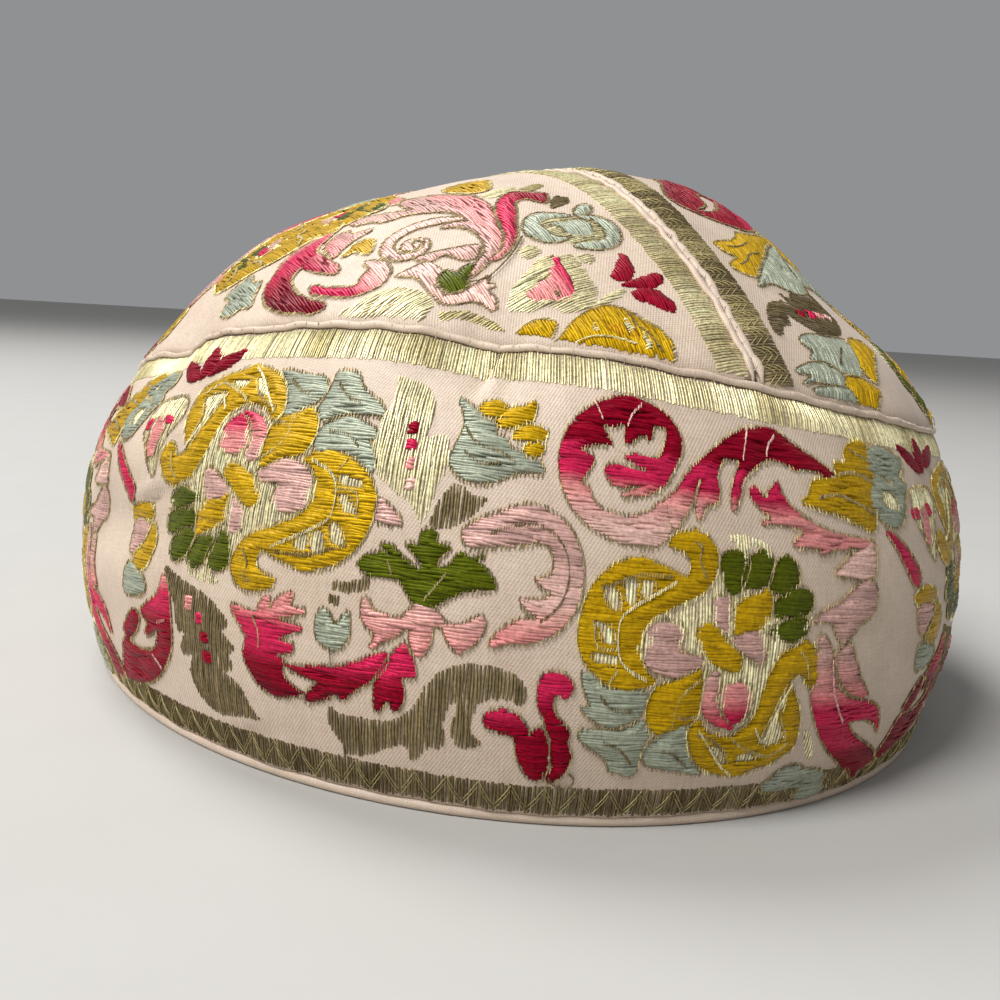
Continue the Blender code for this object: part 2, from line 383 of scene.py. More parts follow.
@dataclass(frozen=True)
class WovenCloth:
    """Finish of the ribbon's ground: a silk twill, whose fine diagonal ribs catch the light softly; painted
    shade darkens it where the weave lies deeper.
    """

    name: str = "silk_twill_ground"
    colour: Silk = Silk.CREAM
    shade: str = "#A08872"  # painted shade where the weave lies deeper, and the tone where the silk has yellowed
    rib_mm: float = 0.46  # a real rib is finer; this is the finest that shows
    thread_mm: float = 0.35
    slope: float = 0.55
    depth_mm: float = 0.05
    roughness: float = 0.55
    sheen: float = 0.08

    def build(self) -> Material:
        """Builds the material, which reads the piece's UV map in mm.

        Returns:
            The material.
        """
        material, tree, shader = start_material(self.name)
        place = add_node(tree, "ShaderNodeUVMap", uv_map="cloth").outputs["UV"]
        height = 0.0
        for turn, size, share in ((0.0, 1.0, 0.6), (-1.9, 0.9, 0.25)):
            fine = 1 / (self.rib_mm * size)
            turned = {"Vector": place, "Rotation": (0, 0, self.slope + turn), "Scale": (fine, fine, 1)}
            ribs = add_node(tree, "ShaderNodeMapping", turned).outputs[0]
            wave = {"Vector": ribs, "Scale": math.pi / 10, "Distortion": 0.8}
            wave |= {"Detail": 1.0, "Detail Scale": 2.0}
            rib_fac = add_node(tree, "ShaderNodeTexWave", wave, bands_direction="X").outputs["Fac"]
            added = {0: rib_fac, 1: share, 2: height}
            height = add_node(tree, "ShaderNodeMath", added, operation="MULTIPLY_ADD").outputs[0]
        for stretch, detail, rough in (((0.12, 1, 1), 3.0, 0.6), ((1, 0.12, 1), 2.0, 0.5)):
            scale = (stretch[0] / self.thread_mm, stretch[1] / self.thread_mm, 1)
            drawn = add_node(tree, "ShaderNodeMapping", {"Vector": place, "Scale": scale}).outputs[0]
            noise = {"Vector": drawn, "Scale": 1.0, "Detail": detail, "Roughness": rough}
            slub = add_node(tree, "ShaderNodeTexNoise", noise).outputs["Fac"]
            height = add_node(tree, "ShaderNodeMath", {0: slub, 1: height}, operation="ADD").outputs[0]
        cloud = {"Vector": place, "Scale": 0.06, "Detail": 4.0, "Roughness": 0.6}
        cloud = add_node(tree, "ShaderNodeTexNoise", cloud).outputs["Fac"]
        # painted shade: the colour darkens towards the shade colour where the weave lies deeper; the cloud
        # adds the silk's yellowing
        deep = {"Value": height, "From Min": 0.9, "From Max": 2.0, "To Min": 1.0, "To Max": 0.0}
        deep = add_node(tree, "ShaderNodeMapRange", deep).outputs[0]
        aged = {"Value": cloud, "From Min": 0.42, "From Max": 0.75, "To Min": 0.0, "To Max": 0.25}
        aged = add_node(tree, "ShaderNodeMapRange", aged).outputs[0]
        added = {0: deep, 1: 0.62, 2: aged}
        share = add_node(tree, "ShaderNodeMath", added, operation="MULTIPLY_ADD").outputs[0]
        mixed = {0: share, "A": srgb_to_linear(self.colour.value), "B": srgb_to_linear(self.shade)}
        colour = add_node(tree, "ShaderNodeMix", mixed, data_type="RGBA").outputs["Result"]
        raised = {"Height": height, "Distance": self.depth_mm * MM, "Strength": 0.8}
        bump = add_node(tree, "ShaderNodeBump", raised).outputs[0]
        set_inputs(shader, {"Base Color": colour, "Normal": bump})
        set_inputs(shader, {"Roughness": self.roughness, "Sheen Weight": self.sheen})
        return material


@dataclass(frozen=True)
class FlossThread:
    """Finish of a thread that carries its own colour: floss silk is glossy along its length, gilt
    strip wound on silk is a soft metal, and sewing silk is nearly matt."""

    name: str
    metallic: float
    roughness: float
    gloss: float  # strength of the highlight, which takes the thread's own colour
    fleck_mm: float = 0.6  # how long a highlight's break along the thread is
    fleck: float = 0.22

    def build(self) -> Material:
        """Builds the material, which reads the colour attribute "tint".

        Returns:
            The material.
        """
        material, tree, shader = start_material(self.name)
        tint = add_node(tree, "ShaderNodeAttribute", attribute_name="tint").outputs["Color"]
        place = add_node(tree, "ShaderNodeTexCoord").outputs["Object"]
        # painted highlight breaks: the fleck brightens and darkens the thread's colour in short flecks
        noise = {"Vector": place, "Scale": 1 / (self.fleck_mm * MM), "Detail": 2.0, "Roughness": 0.6}
        fleck = add_node(tree, "ShaderNodeTexNoise", noise).outputs["Fac"]
        spread = {"From Min": 0.3, "From Max": 0.7, "To Min": 1 - self.fleck, "To Max": 1 + self.fleck}
        value = add_node(tree, "ShaderNodeMapRange", {"Value": fleck, **spread}).outputs[0]
        colour = add_node(tree, "ShaderNodeHueSaturation", {"Color": tint, "Value": value}).outputs[0]
        set_inputs(shader, {"Base Color": colour, "Specular Tint": tint, "Metallic": self.metallic})
        set_inputs(shader, {"Roughness": self.roughness, "Specular IOR Level": self.gloss})
        return material


@dataclass(frozen=True)
class PaintedFloor:
    """Finish of the floor: a pale matt sheet, with hardly any mark."""

    name: str = "matt_paper_sweep"
    colour: str = "#B6B4B0"
    mark: str = "#B0AEA9"  # the paper's faint mottling
    roughness: float = 0.85

    def build(self) -> Material:
        """Builds the material.

        Returns:
            The material.
        """
        material, tree, shader = start_material(self.name)
        place = add_node(tree, "ShaderNodeTexCoord").outputs["Object"]
        noise = {"Vector": place, "Scale": 40.0, "Detail": 6.0}
        grain = add_node(tree, "ShaderNodeTexNoise", noise).outputs["Fac"]
        mixed = {0: grain, "A": srgb_to_linear(self.colour), "B": srgb_to_linear(self.mark)}
        colour = add_node(tree, "ShaderNodeMix", mixed, data_type="RGBA").outputs["Result"]
        set_inputs(shader, {"Base Color": colour, "Roughness": self.roughness})
        return material


# meshes


def new_piece(name: str, points: Array, faces: Sequence, material: Material) -> Object:
    """Makes a smooth mesh object at the origin.

    Args:
        name: the piece's name.
        points: its vertices in metres.
        faces: index tuples.
        material: its finish.

    Returns:
        The object, linked to the scene.
    """
    mesh = bpy.data.meshes.new(name)
    mesh.from_pydata(np.asarray(points).reshape(-1, 3).tolist(), [], [tuple(f) for f in faces])
    mesh.shade_smooth()
    mesh.materials.append(material)
    piece = bpy.data.objects.new(name, mesh)
    bpy.context.scene.collection.objects.link(piece)
    return piece


def grid_faces(
    rows: int, columns: int, wraps: bool, start: int = 0, flip: bool = False, tube: bool = False
) -> list[tuple[int, ...]]:
    """Quads over an even grid of vertices.

    Args:
        rows: vertices in the first direction.
        columns: vertices in the second.
        wraps: whether the first direction joins up.
        start: the grid's first vertex index.
        flip: turns the faces over.
        tube: whether the second direction joins up.

    Returns:
        The quads.
    """
    faces = []
    for i in range(rows if wraps else rows - 1):
        k = (i + 1) % rows
        for j in range(columns if tube else columns - 1):
            n = (j + 1) % columns
            quad = (i * columns + j, k * columns + j, k * columns + n, i * columns + n)
            faces.append(tuple(start + q for q in (quad[::-1] if flip else quad)))
    return faces


def map_cloth(piece: Object, chart_mm: Array, whole: float = 0.0) -> None:
    """Gives a piece its UV map in mm.

    Args:
        piece: of quads, where its first coordinate joins up.
        chart_mm: each vertex's two coordinates.
        whole: the length after which the first coordinate joins up, or 0.
    """
    corner = np.empty(len(piece.data.loops), dtype=np.int32)
    piece.data.loops.foreach_get("vertex_index", corner)
    places = chart_mm[corner]
    if whole:
        first = np.repeat(places.reshape(-1, 4, 2)[:, :1, 0], 4, axis=1).reshape(-1)
        places[:, 0] -= np.round((places[:, 0] - first) / whole) * whole
    layer = piece.data.uv_layers.new(name="cloth")
    layer.data.foreach_set("uv", places.astype(np.float32).ravel())


def tube(name: str, rings: Array, closed: bool, unrolled: tuple[float, float], finish: Material) -> Object:
    """A smooth tube over rings of points.

    Args:
        name: the piece's name.
        rings: (rings, sides, 3) places in metres.
        closed: whether the last ring joins the first; else both ends are capped.
        unrolled: mm of the UV map from ring to ring and from side to side.
        finish: its material.

    Returns:
        The tube.
    """
    count, sides = rings.shape[:2]
    faces = grid_faces(count, sides, closed, tube=True)
    if not closed:
        faces += [tuple(range(sides)), tuple(range((count - 1) * sides, count * sides))[::-1]]
    piece = new_piece(name, rings, faces, finish)
    turn_out(piece, (rings[0, 0] + rings[0, 1]) / 2 - rings[0].mean(axis=0))
    index = np.arange(count * sides)
    map_cloth(piece, np.stack([index // sides * unrolled[0], index % sides * unrolled[1]], axis=1))
    return piece


def turn_out(piece: Object, outward: Array) -> None:
    """Turns a closed piece's faces over where its first face doesn't point outward."""
    if np.dot(piece.data.polygons[0].normal, outward) < 0:
        piece.data.flip_normals()


def cloth_wall(
    name: str,
    outer: Array,
    outward: Array,
    chart_mm: Array,
    thickness: float,
    wraps: bool,
    materials: Sequence[Material],
) -> Object:
    """A closed cloth wall from a grid of places on its face.

    Args:
        name: the piece's name.
        outer: (rows, columns, 3) places on the face, metres.
        outward: directions there.
        chart_mm: (rows, columns, 2) chart places, which become the UV map.
        thickness: of the wall, metres.
        wraps: whether the rows join up.
        materials: of the face and of the reverse.

    Returns:
        The wall.
    """
    rows, columns = outer.shape[:2]
    inner = outer - outward * thickness
    count = rows * columns
    face = grid_faces(rows, columns, wraps)
    back = grid_faces(rows, columns, wraps, start=count, flip=True)
    edges = [
        (i * columns + column, (i + 1) % rows * columns + column, column > 0)
        for column in (0, columns - 1)
        for i in range(rows if wraps else rows - 1)
    ]
    if not wraps:
        ends = [(row * columns + j, row == 0) for row in (0, rows - 1) for j in range(columns - 1)]
        edges += [(a, a + 1, flip) for a, flip in ends]
    quads = [((a, a + count, b + count, b), flip) for a, b, flip in edges]
    rim = [quad[::-1] if flip else quad for quad, flip in quads]
    points = np.concatenate([outer.reshape(-1, 3), inner.reshape(-1, 3)])
    piece = new_piece(name, points, face + back + rim, materials[0])
    piece.data.materials.append(materials[1])
    slots = np.array([0] * len(face) + [1] * len(back) + [0] * len(rim), dtype=np.int32)
    piece.data.polygons.foreach_set("material_index", slots)
    along = chart_mm[:, 0, 0]
    whole = along.max() - along.min() + along[1] - along[0] if wraps else 0.0
    map_cloth(piece, np.concatenate([chart_mm.reshape(-1, 2)] * 2), whole)
    return piece


# the sewn pieces


@dataclass(frozen=True)
class Crease:
    """A sharp fold of the band's cloth: a lip and a hollow beside a line of the chart."""

    start: tuple[float, float]
    end: tuple[float, float]
    lip: float  # mm
    hollow: float
    width: float  # from the lip to the hollow, mm

    def lift(self, u: Array, v: Array, girth: float) -> Array:
        """How far the fold lifts each chart place, mm."""
        run = np.array(self.end) - np.array(self.start)
        length = float(np.hypot(*run))
        way = run / length
        du = np.mod(u - self.start[0] + girth / 2, girth) - girth / 2
        dv = v - self.start[1]
        along = (du * way[0] + dv * way[1]) / length
        off = dv * way[0] - du * way[1]
        ends = np.clip(1.15 - np.abs(along - 0.5) * 1.9, 0, 1) ** 1.5
        lip = self.lip * np.exp(-(((off - self.width / 2) / (0.55 * self.width)) ** 2))
        hollow = self.hollow * np.exp(-(((off + self.width / 2) / (0.5 * self.width)) ** 2))
        return (lip - hollow) * ends


CREASES = (
    Crease((-74.0, 36.6), (-57.0, 42.4), 0.9, 0.9, 1.8),  # tuck at the left
    Crease((-1.6, 69.0), (-5.6, 58.0), 0.7, 0.9, 1.7),  # dart under the seam at the front
    Crease((-24.0, 64.0), (-9.0, 60.0), 0.3, 0.3, 3.0),
    Crease((38.0, 66.0), (60.0, 60.0), 0.3, 0.35, 3.4),
    Crease((66.0, 10.0), (58.0, 30.0), 0.35, 0.3, 4.0),
    Crease((-46.0, 4.0), (-30.0, 9.5), 0.25, 0.3, 3.0),
    Crease((110.0, 60.0), (150.0, 52.0), 0.4, 0.4, 4.0),
    Crease((200.0, 68.0), (196.0, 50.0), 0.4, 0.5, 3.0),
    Crease((-160.0, 66.0), (-150.0, 44.0), 0.4, 0.4, 3.6),
)


@dataclass
class Hat:
    """What every piece shares: the form, the charts and the finishes."""

    form: HatForm = field(default_factory=HatForm)
    wall: float = 0.0015  # the silk with its turned edges
    seam_reach_y: float = 0.0915  # how far the top seam runs each way in the plan

    def __post_init__(self) -> None:
        """Lays the charts and makes the finishes."""
        self.maker = ChartMaker(self.form)
        self.band = self.maker.band()
        self.crown = self.maker.crown()
        plan_y = np.linspace(-self.seam_reach_y, self.seam_reach_y, 61)
        self.seam_line = self.chart_of_plan(np.full_like(plan_y, TOP_SEAM_X), plan_y)
        turn = np.linspace(-math.pi, math.pi, 361)
        ends = self.chart_of_plan(*np.array([self.edge_plan(a, 0.0) for a in turn]).T)
        self.seam_reach = (turn, np.hypot(ends[:, 0], ends[:, 1]))
        self.band.press(self.band_relief)
        self.crown.press(self.crown_relief)
        self.ground = WovenCloth().build()
        self.selvage = WovenCloth(name="silk_selvage", rib_mm=0.3, depth_mm=0.02).build()
        self.reverse = WovenCloth(name="silk_twill_reverse", colour=Silk.BLUSH, shade="#A98E7A").build()

    def band_relief(self, u: Array, v: Array) -> Array:
        """How the band's cloth stands out, mm: soft waves, creases, and puckers under its seam."""
        turn = 2 * math.pi * u / self.maker.girth
        waves = 0.14 * np.sin(13 * turn + 0.09 * v) * np.sin(0.11 * v + 2 * turn + 1.0)
        waves += 0.07 * np.sin(29 * turn - 0.16 * v + 0.6)
        pucker = np.sin(47 * turn + 1.5 * np.sin(9 * turn)) * np.sin(31 * turn + 0.7)
        waves += 0.26 * pucker * np.exp(-np.clip(self.maker.ribbon - v, 0, None) / 4.5)
        waves += 0.12 * np.sin(61 * turn + 2 * np.sin(7 * turn)) * np.exp(-np.clip(v - 1, 0, None) / 4.0)
        for crease in CREASES:
            waves += crease.lift(u, v, self.maker.girth)
        return waves

    def crown_relief(self, x: Array, y: Array) -> Array:
        """How the crown's cloth stands out, mm: full above the band, drawn in at its seams."""
        azimuth, reach = np.arctan2(y, x), np.hypot(x, y)
        above = np.clip(np.interp(azimuth, *self.seam_reach) - reach, 0, None)
        full = 1.0 * (1 - np.exp(-above / 1.6)) * np.exp(-above / 13) - 0.25 * np.exp(-((above / 1.0) ** 2))
        pucker = np.sin(53 * azimuth + 1.7 * np.sin(8 * azimuth)) * np.sin(23 * azimuth + 0.4)
        waves = full + 0.34 * pucker * np.exp(-above / 4.5) * (1 - np.exp(-above / 0.8))
        waves += 0.15 * np.sin(0.21 * x + 0.08 * y) * np.sin(0.13 * y - 0.1 * x + 0.8)
        off = x - self.top_seam(y)
        waves += 0.40 * np.exp(-(((np.abs(off) - 5.5) / 3.5) ** 2)) - 0.45 * np.exp(-((off / 1.3) ** 2))
        waves += 0.14 * np.sin(0.95 * y + 1.4 * np.sin(0.31 * y) + np.sign(off)) * np.exp(-np.abs(off) / 5)
        return waves

    def top_seam(self, y: Array) -> Array:
        """The crown chart's x of the top seam at each y, mm."""
        return np.interp(y, self.seam_line[:, 1], self.seam_line[:, 0])

    def seam_azimuths(self, x: float) -> tuple[float, float]:
        """The azimuths at which a line of that x, in metres, meets the band: front, then back."""
        found = []
        for low, high, front in ((-math.pi, -math.pi / 2, True), (math.pi / 2, math.pi, False)):
            for _ in range(40):
                middle = (low + high) / 2
                low, high = (middle, high) if (self.edge_plan(middle)[0] < x) == front else (low, middle)
            found.append((low + high) / 2)
        return found[0], found[1]

    def edge_plan(self, azimuth: Array, below: float = 0.0008) -> Array:
        """The plan's points under the crown's lower edge."""
        level = self.form.band_top(azimuth) + below / self.form.height
        radius = self.form.radius(azimuth, level)
        return np.array([radius * np.cos(azimuth), radius * np.sin(azimuth)])

    def chart_of_plan(self, x: Array, y: Array) -> Array:
        """The crown's chart places, mm, over points of the plan in metres."""
        azimuth = np.arctan2(y, x)
        share = np.linspace(0, 1, 60)[:, None]
        line = self.form.dome(share * np.ravel(x), share * np.ravel(y))
        length = np.linalg.norm(np.diff(line, axis=0), axis=-1).sum(axis=0).reshape(np.shape(x)) / MM
        return np.stack([length * np.cos(azimuth), length * np.sin(azimuth)], axis=-1)


@dataclass
class Band:
    """The ribbon round the side."""

    hat: Hat
    low: float = 1.7  # mm above the floor
    seam_gap: float = 0.1
    step: float = 1.22
    flat: tuple[float, float] = (0.566, 0.071)  # the ribbon's length round the rim and its width

    def build(self) -> Object:
        """Builds the band's wall.

        Returns:
            The band.
        """
        hat = self.hat
        columns = int(hat.maker.girth / self.step)
        u = np.arange(columns) * hat.maker.girth / columns
        v = np.linspace(self.low, hat.maker.ribbon - self.seam_gap, int(hat.maker.ribbon / self.step) + 1)
        first, second = np.meshgrid(u, v, indexing="ij")
        piece = cloth_wall(
            "band_cloth",
            hat.band.place(first, second),
            hat.band.facing(first, second),
            np.stack([first, second], axis=-1),
            hat.wall,
            True,
            (hat.ground, hat.reverse),
        )
        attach(piece, BODY)
        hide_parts("band")
        return piece


@dataclass
class CrownPanel:
    """The crown's cloth on one side of the top seam: side is -1 for -X and +1 for +X."""

    hat: Hat
    name: str
    node: str
    side: int
    seam_x: float = TOP_SEAM_X
    gap: float = 0.0003
    tip: float = math.radians(2.5)
    long_steps: int = 164
    cross_steps: int = 70
    flat: tuple[float, float] = (0.080, 0.200)
    area: float = 0.0125

    def build(self) -> Object:
        """Builds the panel's wall.

        Returns:
            The panel.
        """
        hat = self.hat
        front, back = hat.seam_azimuths(self.seam_x)
        if self.side < 0:
            front, back = front + 2 * math.pi - self.tip, back + self.tip
        else:
            front, back = front + self.tip, back - self.tip
        along = np.linspace(0, 1, self.long_steps + 1)
        edge = hat.edge_plan(front + (back - front) * along, below=0.0001)
        seam_y = edge[1, 0] + (edge[1, -1] - edge[1, 0]) * (1 - np.cos(math.pi * along)) / 2
        across = np.linspace(0, 1, self.cross_steps + 1)[None, :]
        x = self.seam_x + self.side * self.gap
        x = x + (edge[0][:, None] - x) * across
        y = seam_y[:, None] + (edge[1] - seam_y)[:, None] * across
        place = hat.chart_of_plan(x, y)
        if self.side < 0:
            place = place[::-1]
        outer = hat.crown.place(place[..., 0], place[..., 1])
        outward = hat.crown.facing(place[..., 0], place[..., 1])
        piece = cloth_wall(self.name, outer, outward, place, hat.wall, False, (hat.ground, hat.reverse))
        turn_out(piece, outward[0, 0])
        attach(piece, BODY)
        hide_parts(self.node)
        return piece


# the brocading threads


@dataclass
class ThreadLot:
    """Threads gathered for one piece: polylines over the cloth with a colour and a thickness."""

    name: str
    parts: list[tuple[Array, ...]] = field(default_factory=list)
    counts: list[int] = field(default_factory=list)

    def lay(self, points: Array, facing: Array, tint: Array, girth: Array) -> None:
        """Adds threads of equal point count.

        Args:
            points: (threads, points, 3) places in metres.
            facing: (threads, points, 3) the cloth's outward directions.
            tint: (threads, points, 3) linear colours.
            girth: (threads, points) shares of the full thickness.
        """
        if len(points):
            rows = (points, facing, tint, girth[..., None])
            self.parts.append(tuple(row.reshape(-1, row.shape[-1]) for row in rows))
            self.counts.extend([points.shape[1]] * points.shape[0])

    def mesh(self) -> Mesh:
        """The threads as chains of edges with their attributes."""
        points, facing, tint, girth = (np.concatenate(part) for part in zip(*self.parts))
        joined = np.ones(len(points), dtype=bool)
        joined[np.cumsum(self.counts) - 1] = False
        first = np.nonzero(joined)[0]
        mesh = bpy.data.meshes.new(self.name)
        mesh.vertices.add(len(points))
        mesh.vertices.foreach_set("co", points.astype(np.float32).ravel())
        mesh.edges.add(len(first))
        mesh.edges.foreach_set("vertices", np.stack([first, first + 1], axis=1).astype(np.int32).ravel())
        tint = np.clip(np.pad(tint, ((0, 0), (0, 1)), constant_values=1), 0, 1)
        for name, kind, entry, values in (
            ("facing", "FLOAT_VECTOR", "vector", facing),
            ("girth", "FLOAT", "value", girth),
            ("tint", "FLOAT_COLOR", "color", tint),
        ):
            layer = mesh.attributes.new(name, kind, "POINT")
            layer.data.foreach_set(entry, values.astype(np.float32).ravel())
        mesh.update()
        return mesh


@dataclass(frozen=True)
class ThreadSpinner:
    """The geometry tree that gives each chain of edges its round body."""

    width_mm: float
    height_mm: float
    sides: int = 4
    unevenness: float = 0.12
    seed: int = 7

    def tree(self, material: Material) -> NodeTree:
        """Builds the tree, with its sizes as named inputs.

        Args:
            material: the thread's finish.

        Returns:
            The tree.
        """
        tree = bpy.data.node_groups.new("spin_threads", "GeometryNodeTree")
        faces = tree.interface
        faces.new_socket("Geometry", in_out="INPUT", socket_type="NodeSocketGeometry")
        for name in ("Width", "Height", "Unevenness"):
            faces.new_socket(name, in_out="INPUT", socket_type="NodeSocketFloat")
        faces.new_socket("Seed", in_out="INPUT", socket_type="NodeSocketInt")
        faces.new_socket("Geometry", in_out="OUTPUT", socket_type="NodeSocketGeometry")
        given = add_node(tree, "NodeGroupInput").outputs
        chains = add_node(tree, "GeometryNodeMeshToCurve", {"Mesh": given["Geometry"]}).outputs[0]
        named = "GeometryNodeInputNamedAttribute"
        facing = add_node(tree, named, {"Name": "facing"}, data_type="FLOAT_VECTOR").outputs["Attribute"]
        girth = add_node(tree, named, {"Name": "girth"}, data_type="FLOAT").outputs["Attribute"]
        turned = {"Curve": chains, "Normal": facing}
        turned = add_node(tree, "GeometryNodeSetCurveNormal", turned, mode="FREE").outputs[0]
        spread = {0: 1.0, 1: given["Unevenness"]}
        least = add_node(tree, "ShaderNodeMath", spread, operation="SUBTRACT").outputs[0]
        most = add_node(tree, "ShaderNodeMath", spread, operation="ADD").outputs[0]
        uneven = {2: least, 3: most, "Seed": given["Seed"]}
        uneven = add_node(tree, "FunctionNodeRandomValue", uneven, data_type="FLOAT").outputs[1]
        scale = add_node(tree, "ShaderNodeMath", {0: girth, 1: uneven}, operation="MULTIPLY").outputs[0]
        ring = {"Resolution": self.sides, "Radius": 1.0}
        ring = add_node(tree, "GeometryNodeCurvePrimitiveCircle", ring, mode="RADIUS").outputs["Curve"]
        flat = {"X": given["Height"], "Y": given["Width"], "Z": 1.0}
        flat = add_node(tree, "ShaderNodeCombineXYZ", flat).outputs[0]
        oval = add_node(tree, "GeometryNodeTransform", {"Geometry": ring, "Scale": flat}).outputs[0]
        body = {"Curve": turned, "Profile Curve": oval, "Scale": scale, "Fill Caps": True}
        body = add_node(tree, "GeometryNodeCurveToMesh", body).outputs[0]
        smooth = add_node(tree, "GeometryNodeSetShadeSmooth", {"Geometry": body}).outputs[0]
        real = add_node(tree, "GeometryNodeRealizeInstances", {"Geometry": smooth}).outputs[0]
        dressed = {"Geometry": real, "Material": material}
        dressed = add_node(tree, "GeometryNodeSetMaterial", dressed).outputs[0]
        add_node(tree, "NodeGroupOutput", {"Geometry": dressed})
        return tree

    def spin(self, lot: ThreadLot, material: Material) -> Object:
        """Gives a lot's threads their bodies.

        Args:
            lot: the threads.
            material: their finish.

        Returns:
            One plain mesh object.
        """
        chains = bpy.data.objects.new(lot.name + "_chains", lot.mesh())
        bpy.context.scene.collection.objects.link(chains)
        maker = chains.modifiers.new("threads", "NODES")
        maker.node_group = self.tree(material)
        sizes = {
            "Width": self.width_mm * MM / 2,
            "Height": self.height_mm * MM / 2,
            "Unevenness": self.unevenness,
            "Seed": self.seed,
        }
        for item in maker.node_group.interface.items_tree:
            if item.name in sizes:
                maker[item.identifier] = sizes[item.name]
        graph = bpy.context.evaluated_depsgraph_get()
        mesh = bpy.data.meshes.new_from_object(chains.evaluated_get(graph))
        mesh.name = lot.name
        piece = bpy.data.objects.new(lot.name, mesh)
        bpy.context.scene.collection.objects.link(piece)
        chains.modifiers.remove(maker)
        bpy.data.objects.remove(chains, do_unlink=True)
        for spare in ("facing", "girth"):
            if spare in mesh.attributes:
                mesh.attributes.remove(mesh.attributes[spare])
        return piece


class Make(Enum):
    """How a figure is woven: over a full field of silk, of gilt strip, or as a line of ticks."""

    SILK = "silk"
    GILT = "gilt"
    LINE = "line"


@dataclass(frozen=True)
class Shade:
    """A colour that changes along one axis of the chart, by stops in mm."""

    stops: tuple[tuple[float, Silk], ...]
    axis: int = 1

    def at(self, places: Array) -> Array:
        """Linear colours at chart places."""
        at = [stop for stop, _ in self.stops]
        colours = np.array([LINEAR[silk] for _, silk in self.stops])
        value = places[..., self.axis]
        return np.stack([np.interp(value, at, colours[:, c]) for c in range(3)], axis=-1)


def plain(silk: Silk) -> Shade:
    """A shade of one colour."""
    return Shade(((0.0, silk),))


def read_outline(text: str) -> Array:
    """Chart places from "x,y x,y" in mm."""
    return np.array([[float(n) for n in pair.split(",")] for pair in text.split()])


def rounded(corners: Array, closed: bool = True, parts: int = 4) -> Array:
    """A smooth line through charted points.

    Args:
        corners: the points.
        closed: whether the line joins up.
        parts: pieces between neighbours.

    Returns:
        The line's points.
    """
    if closed:
        before, after, beyond = np.roll(corners, 1, 0), np.roll(corners, -1, 0), np.roll(corners, -2, 0)
        start = corners
    else:
        wide = np.concatenate([corners[:1], corners, corners[-1:]])
        before, start, after, beyond = wide[:-3], wide[1:-2], wide[2:-1], wide[3:]
    t = (np.arange(parts) / parts)[None, :, None]
    p0, p1, p2, p3 = before[:, None], start[:, None], after[:, None], beyond[:, None]
    line = p1 + 0.5 * t * (p2 - p0 + t * (2 * p0 - 5 * p1 + 4 * p2 - p3 + t * (3 * (p1 - p2) + p3 - p0)))
    line = line.reshape(-1, 2)
    return line if closed else np.concatenate([line, corners[-1:]])


@dataclass(frozen=True)
class Figure:
    """One woven figure of the ribbon: its outline and its holes, charted in mm."""

    make: Make
    shade: Shade
    outlines: tuple[Array, ...]
    layer: int = 1
    edged: bool = True
    crisp: bool = False  # keeps the corners

    def loops(self) -> list[Array]:
        """The outlines, smooth unless the figure is crisp."""
        return list(self.outlines) if self.crisp else [rounded(outline) for outline in self.outlines]


@dataclass(frozen=True)
class Setting:
    """Where a group of figures stands: scaled or turned about its pivot, then moved."""

    pivot: tuple[float, float] = (0.0, 0.0)
    to: tuple[float, float] = (0.0, 0.0)
    scale: tuple[float, float] = (1.0, 1.0)
    swapped: bool = False  # whether the ribbon runs along the other axis here

    def move(self, places: Array) -> Array:
        """Chart places as this setting puts them."""
        moved = (places - np.array(self.pivot)) * np.array(self.scale)
        return (moved[..., ::-1] if self.swapped else moved) + np.array(self.to)

    def home(self, places: Array) -> Array:
        """The group's own places of places on the chart."""
        back = places - np.array(self.to)
        return (back[..., ::-1] if self.swapped else back) / np.array(self.scale) + np.array(self.pivot)


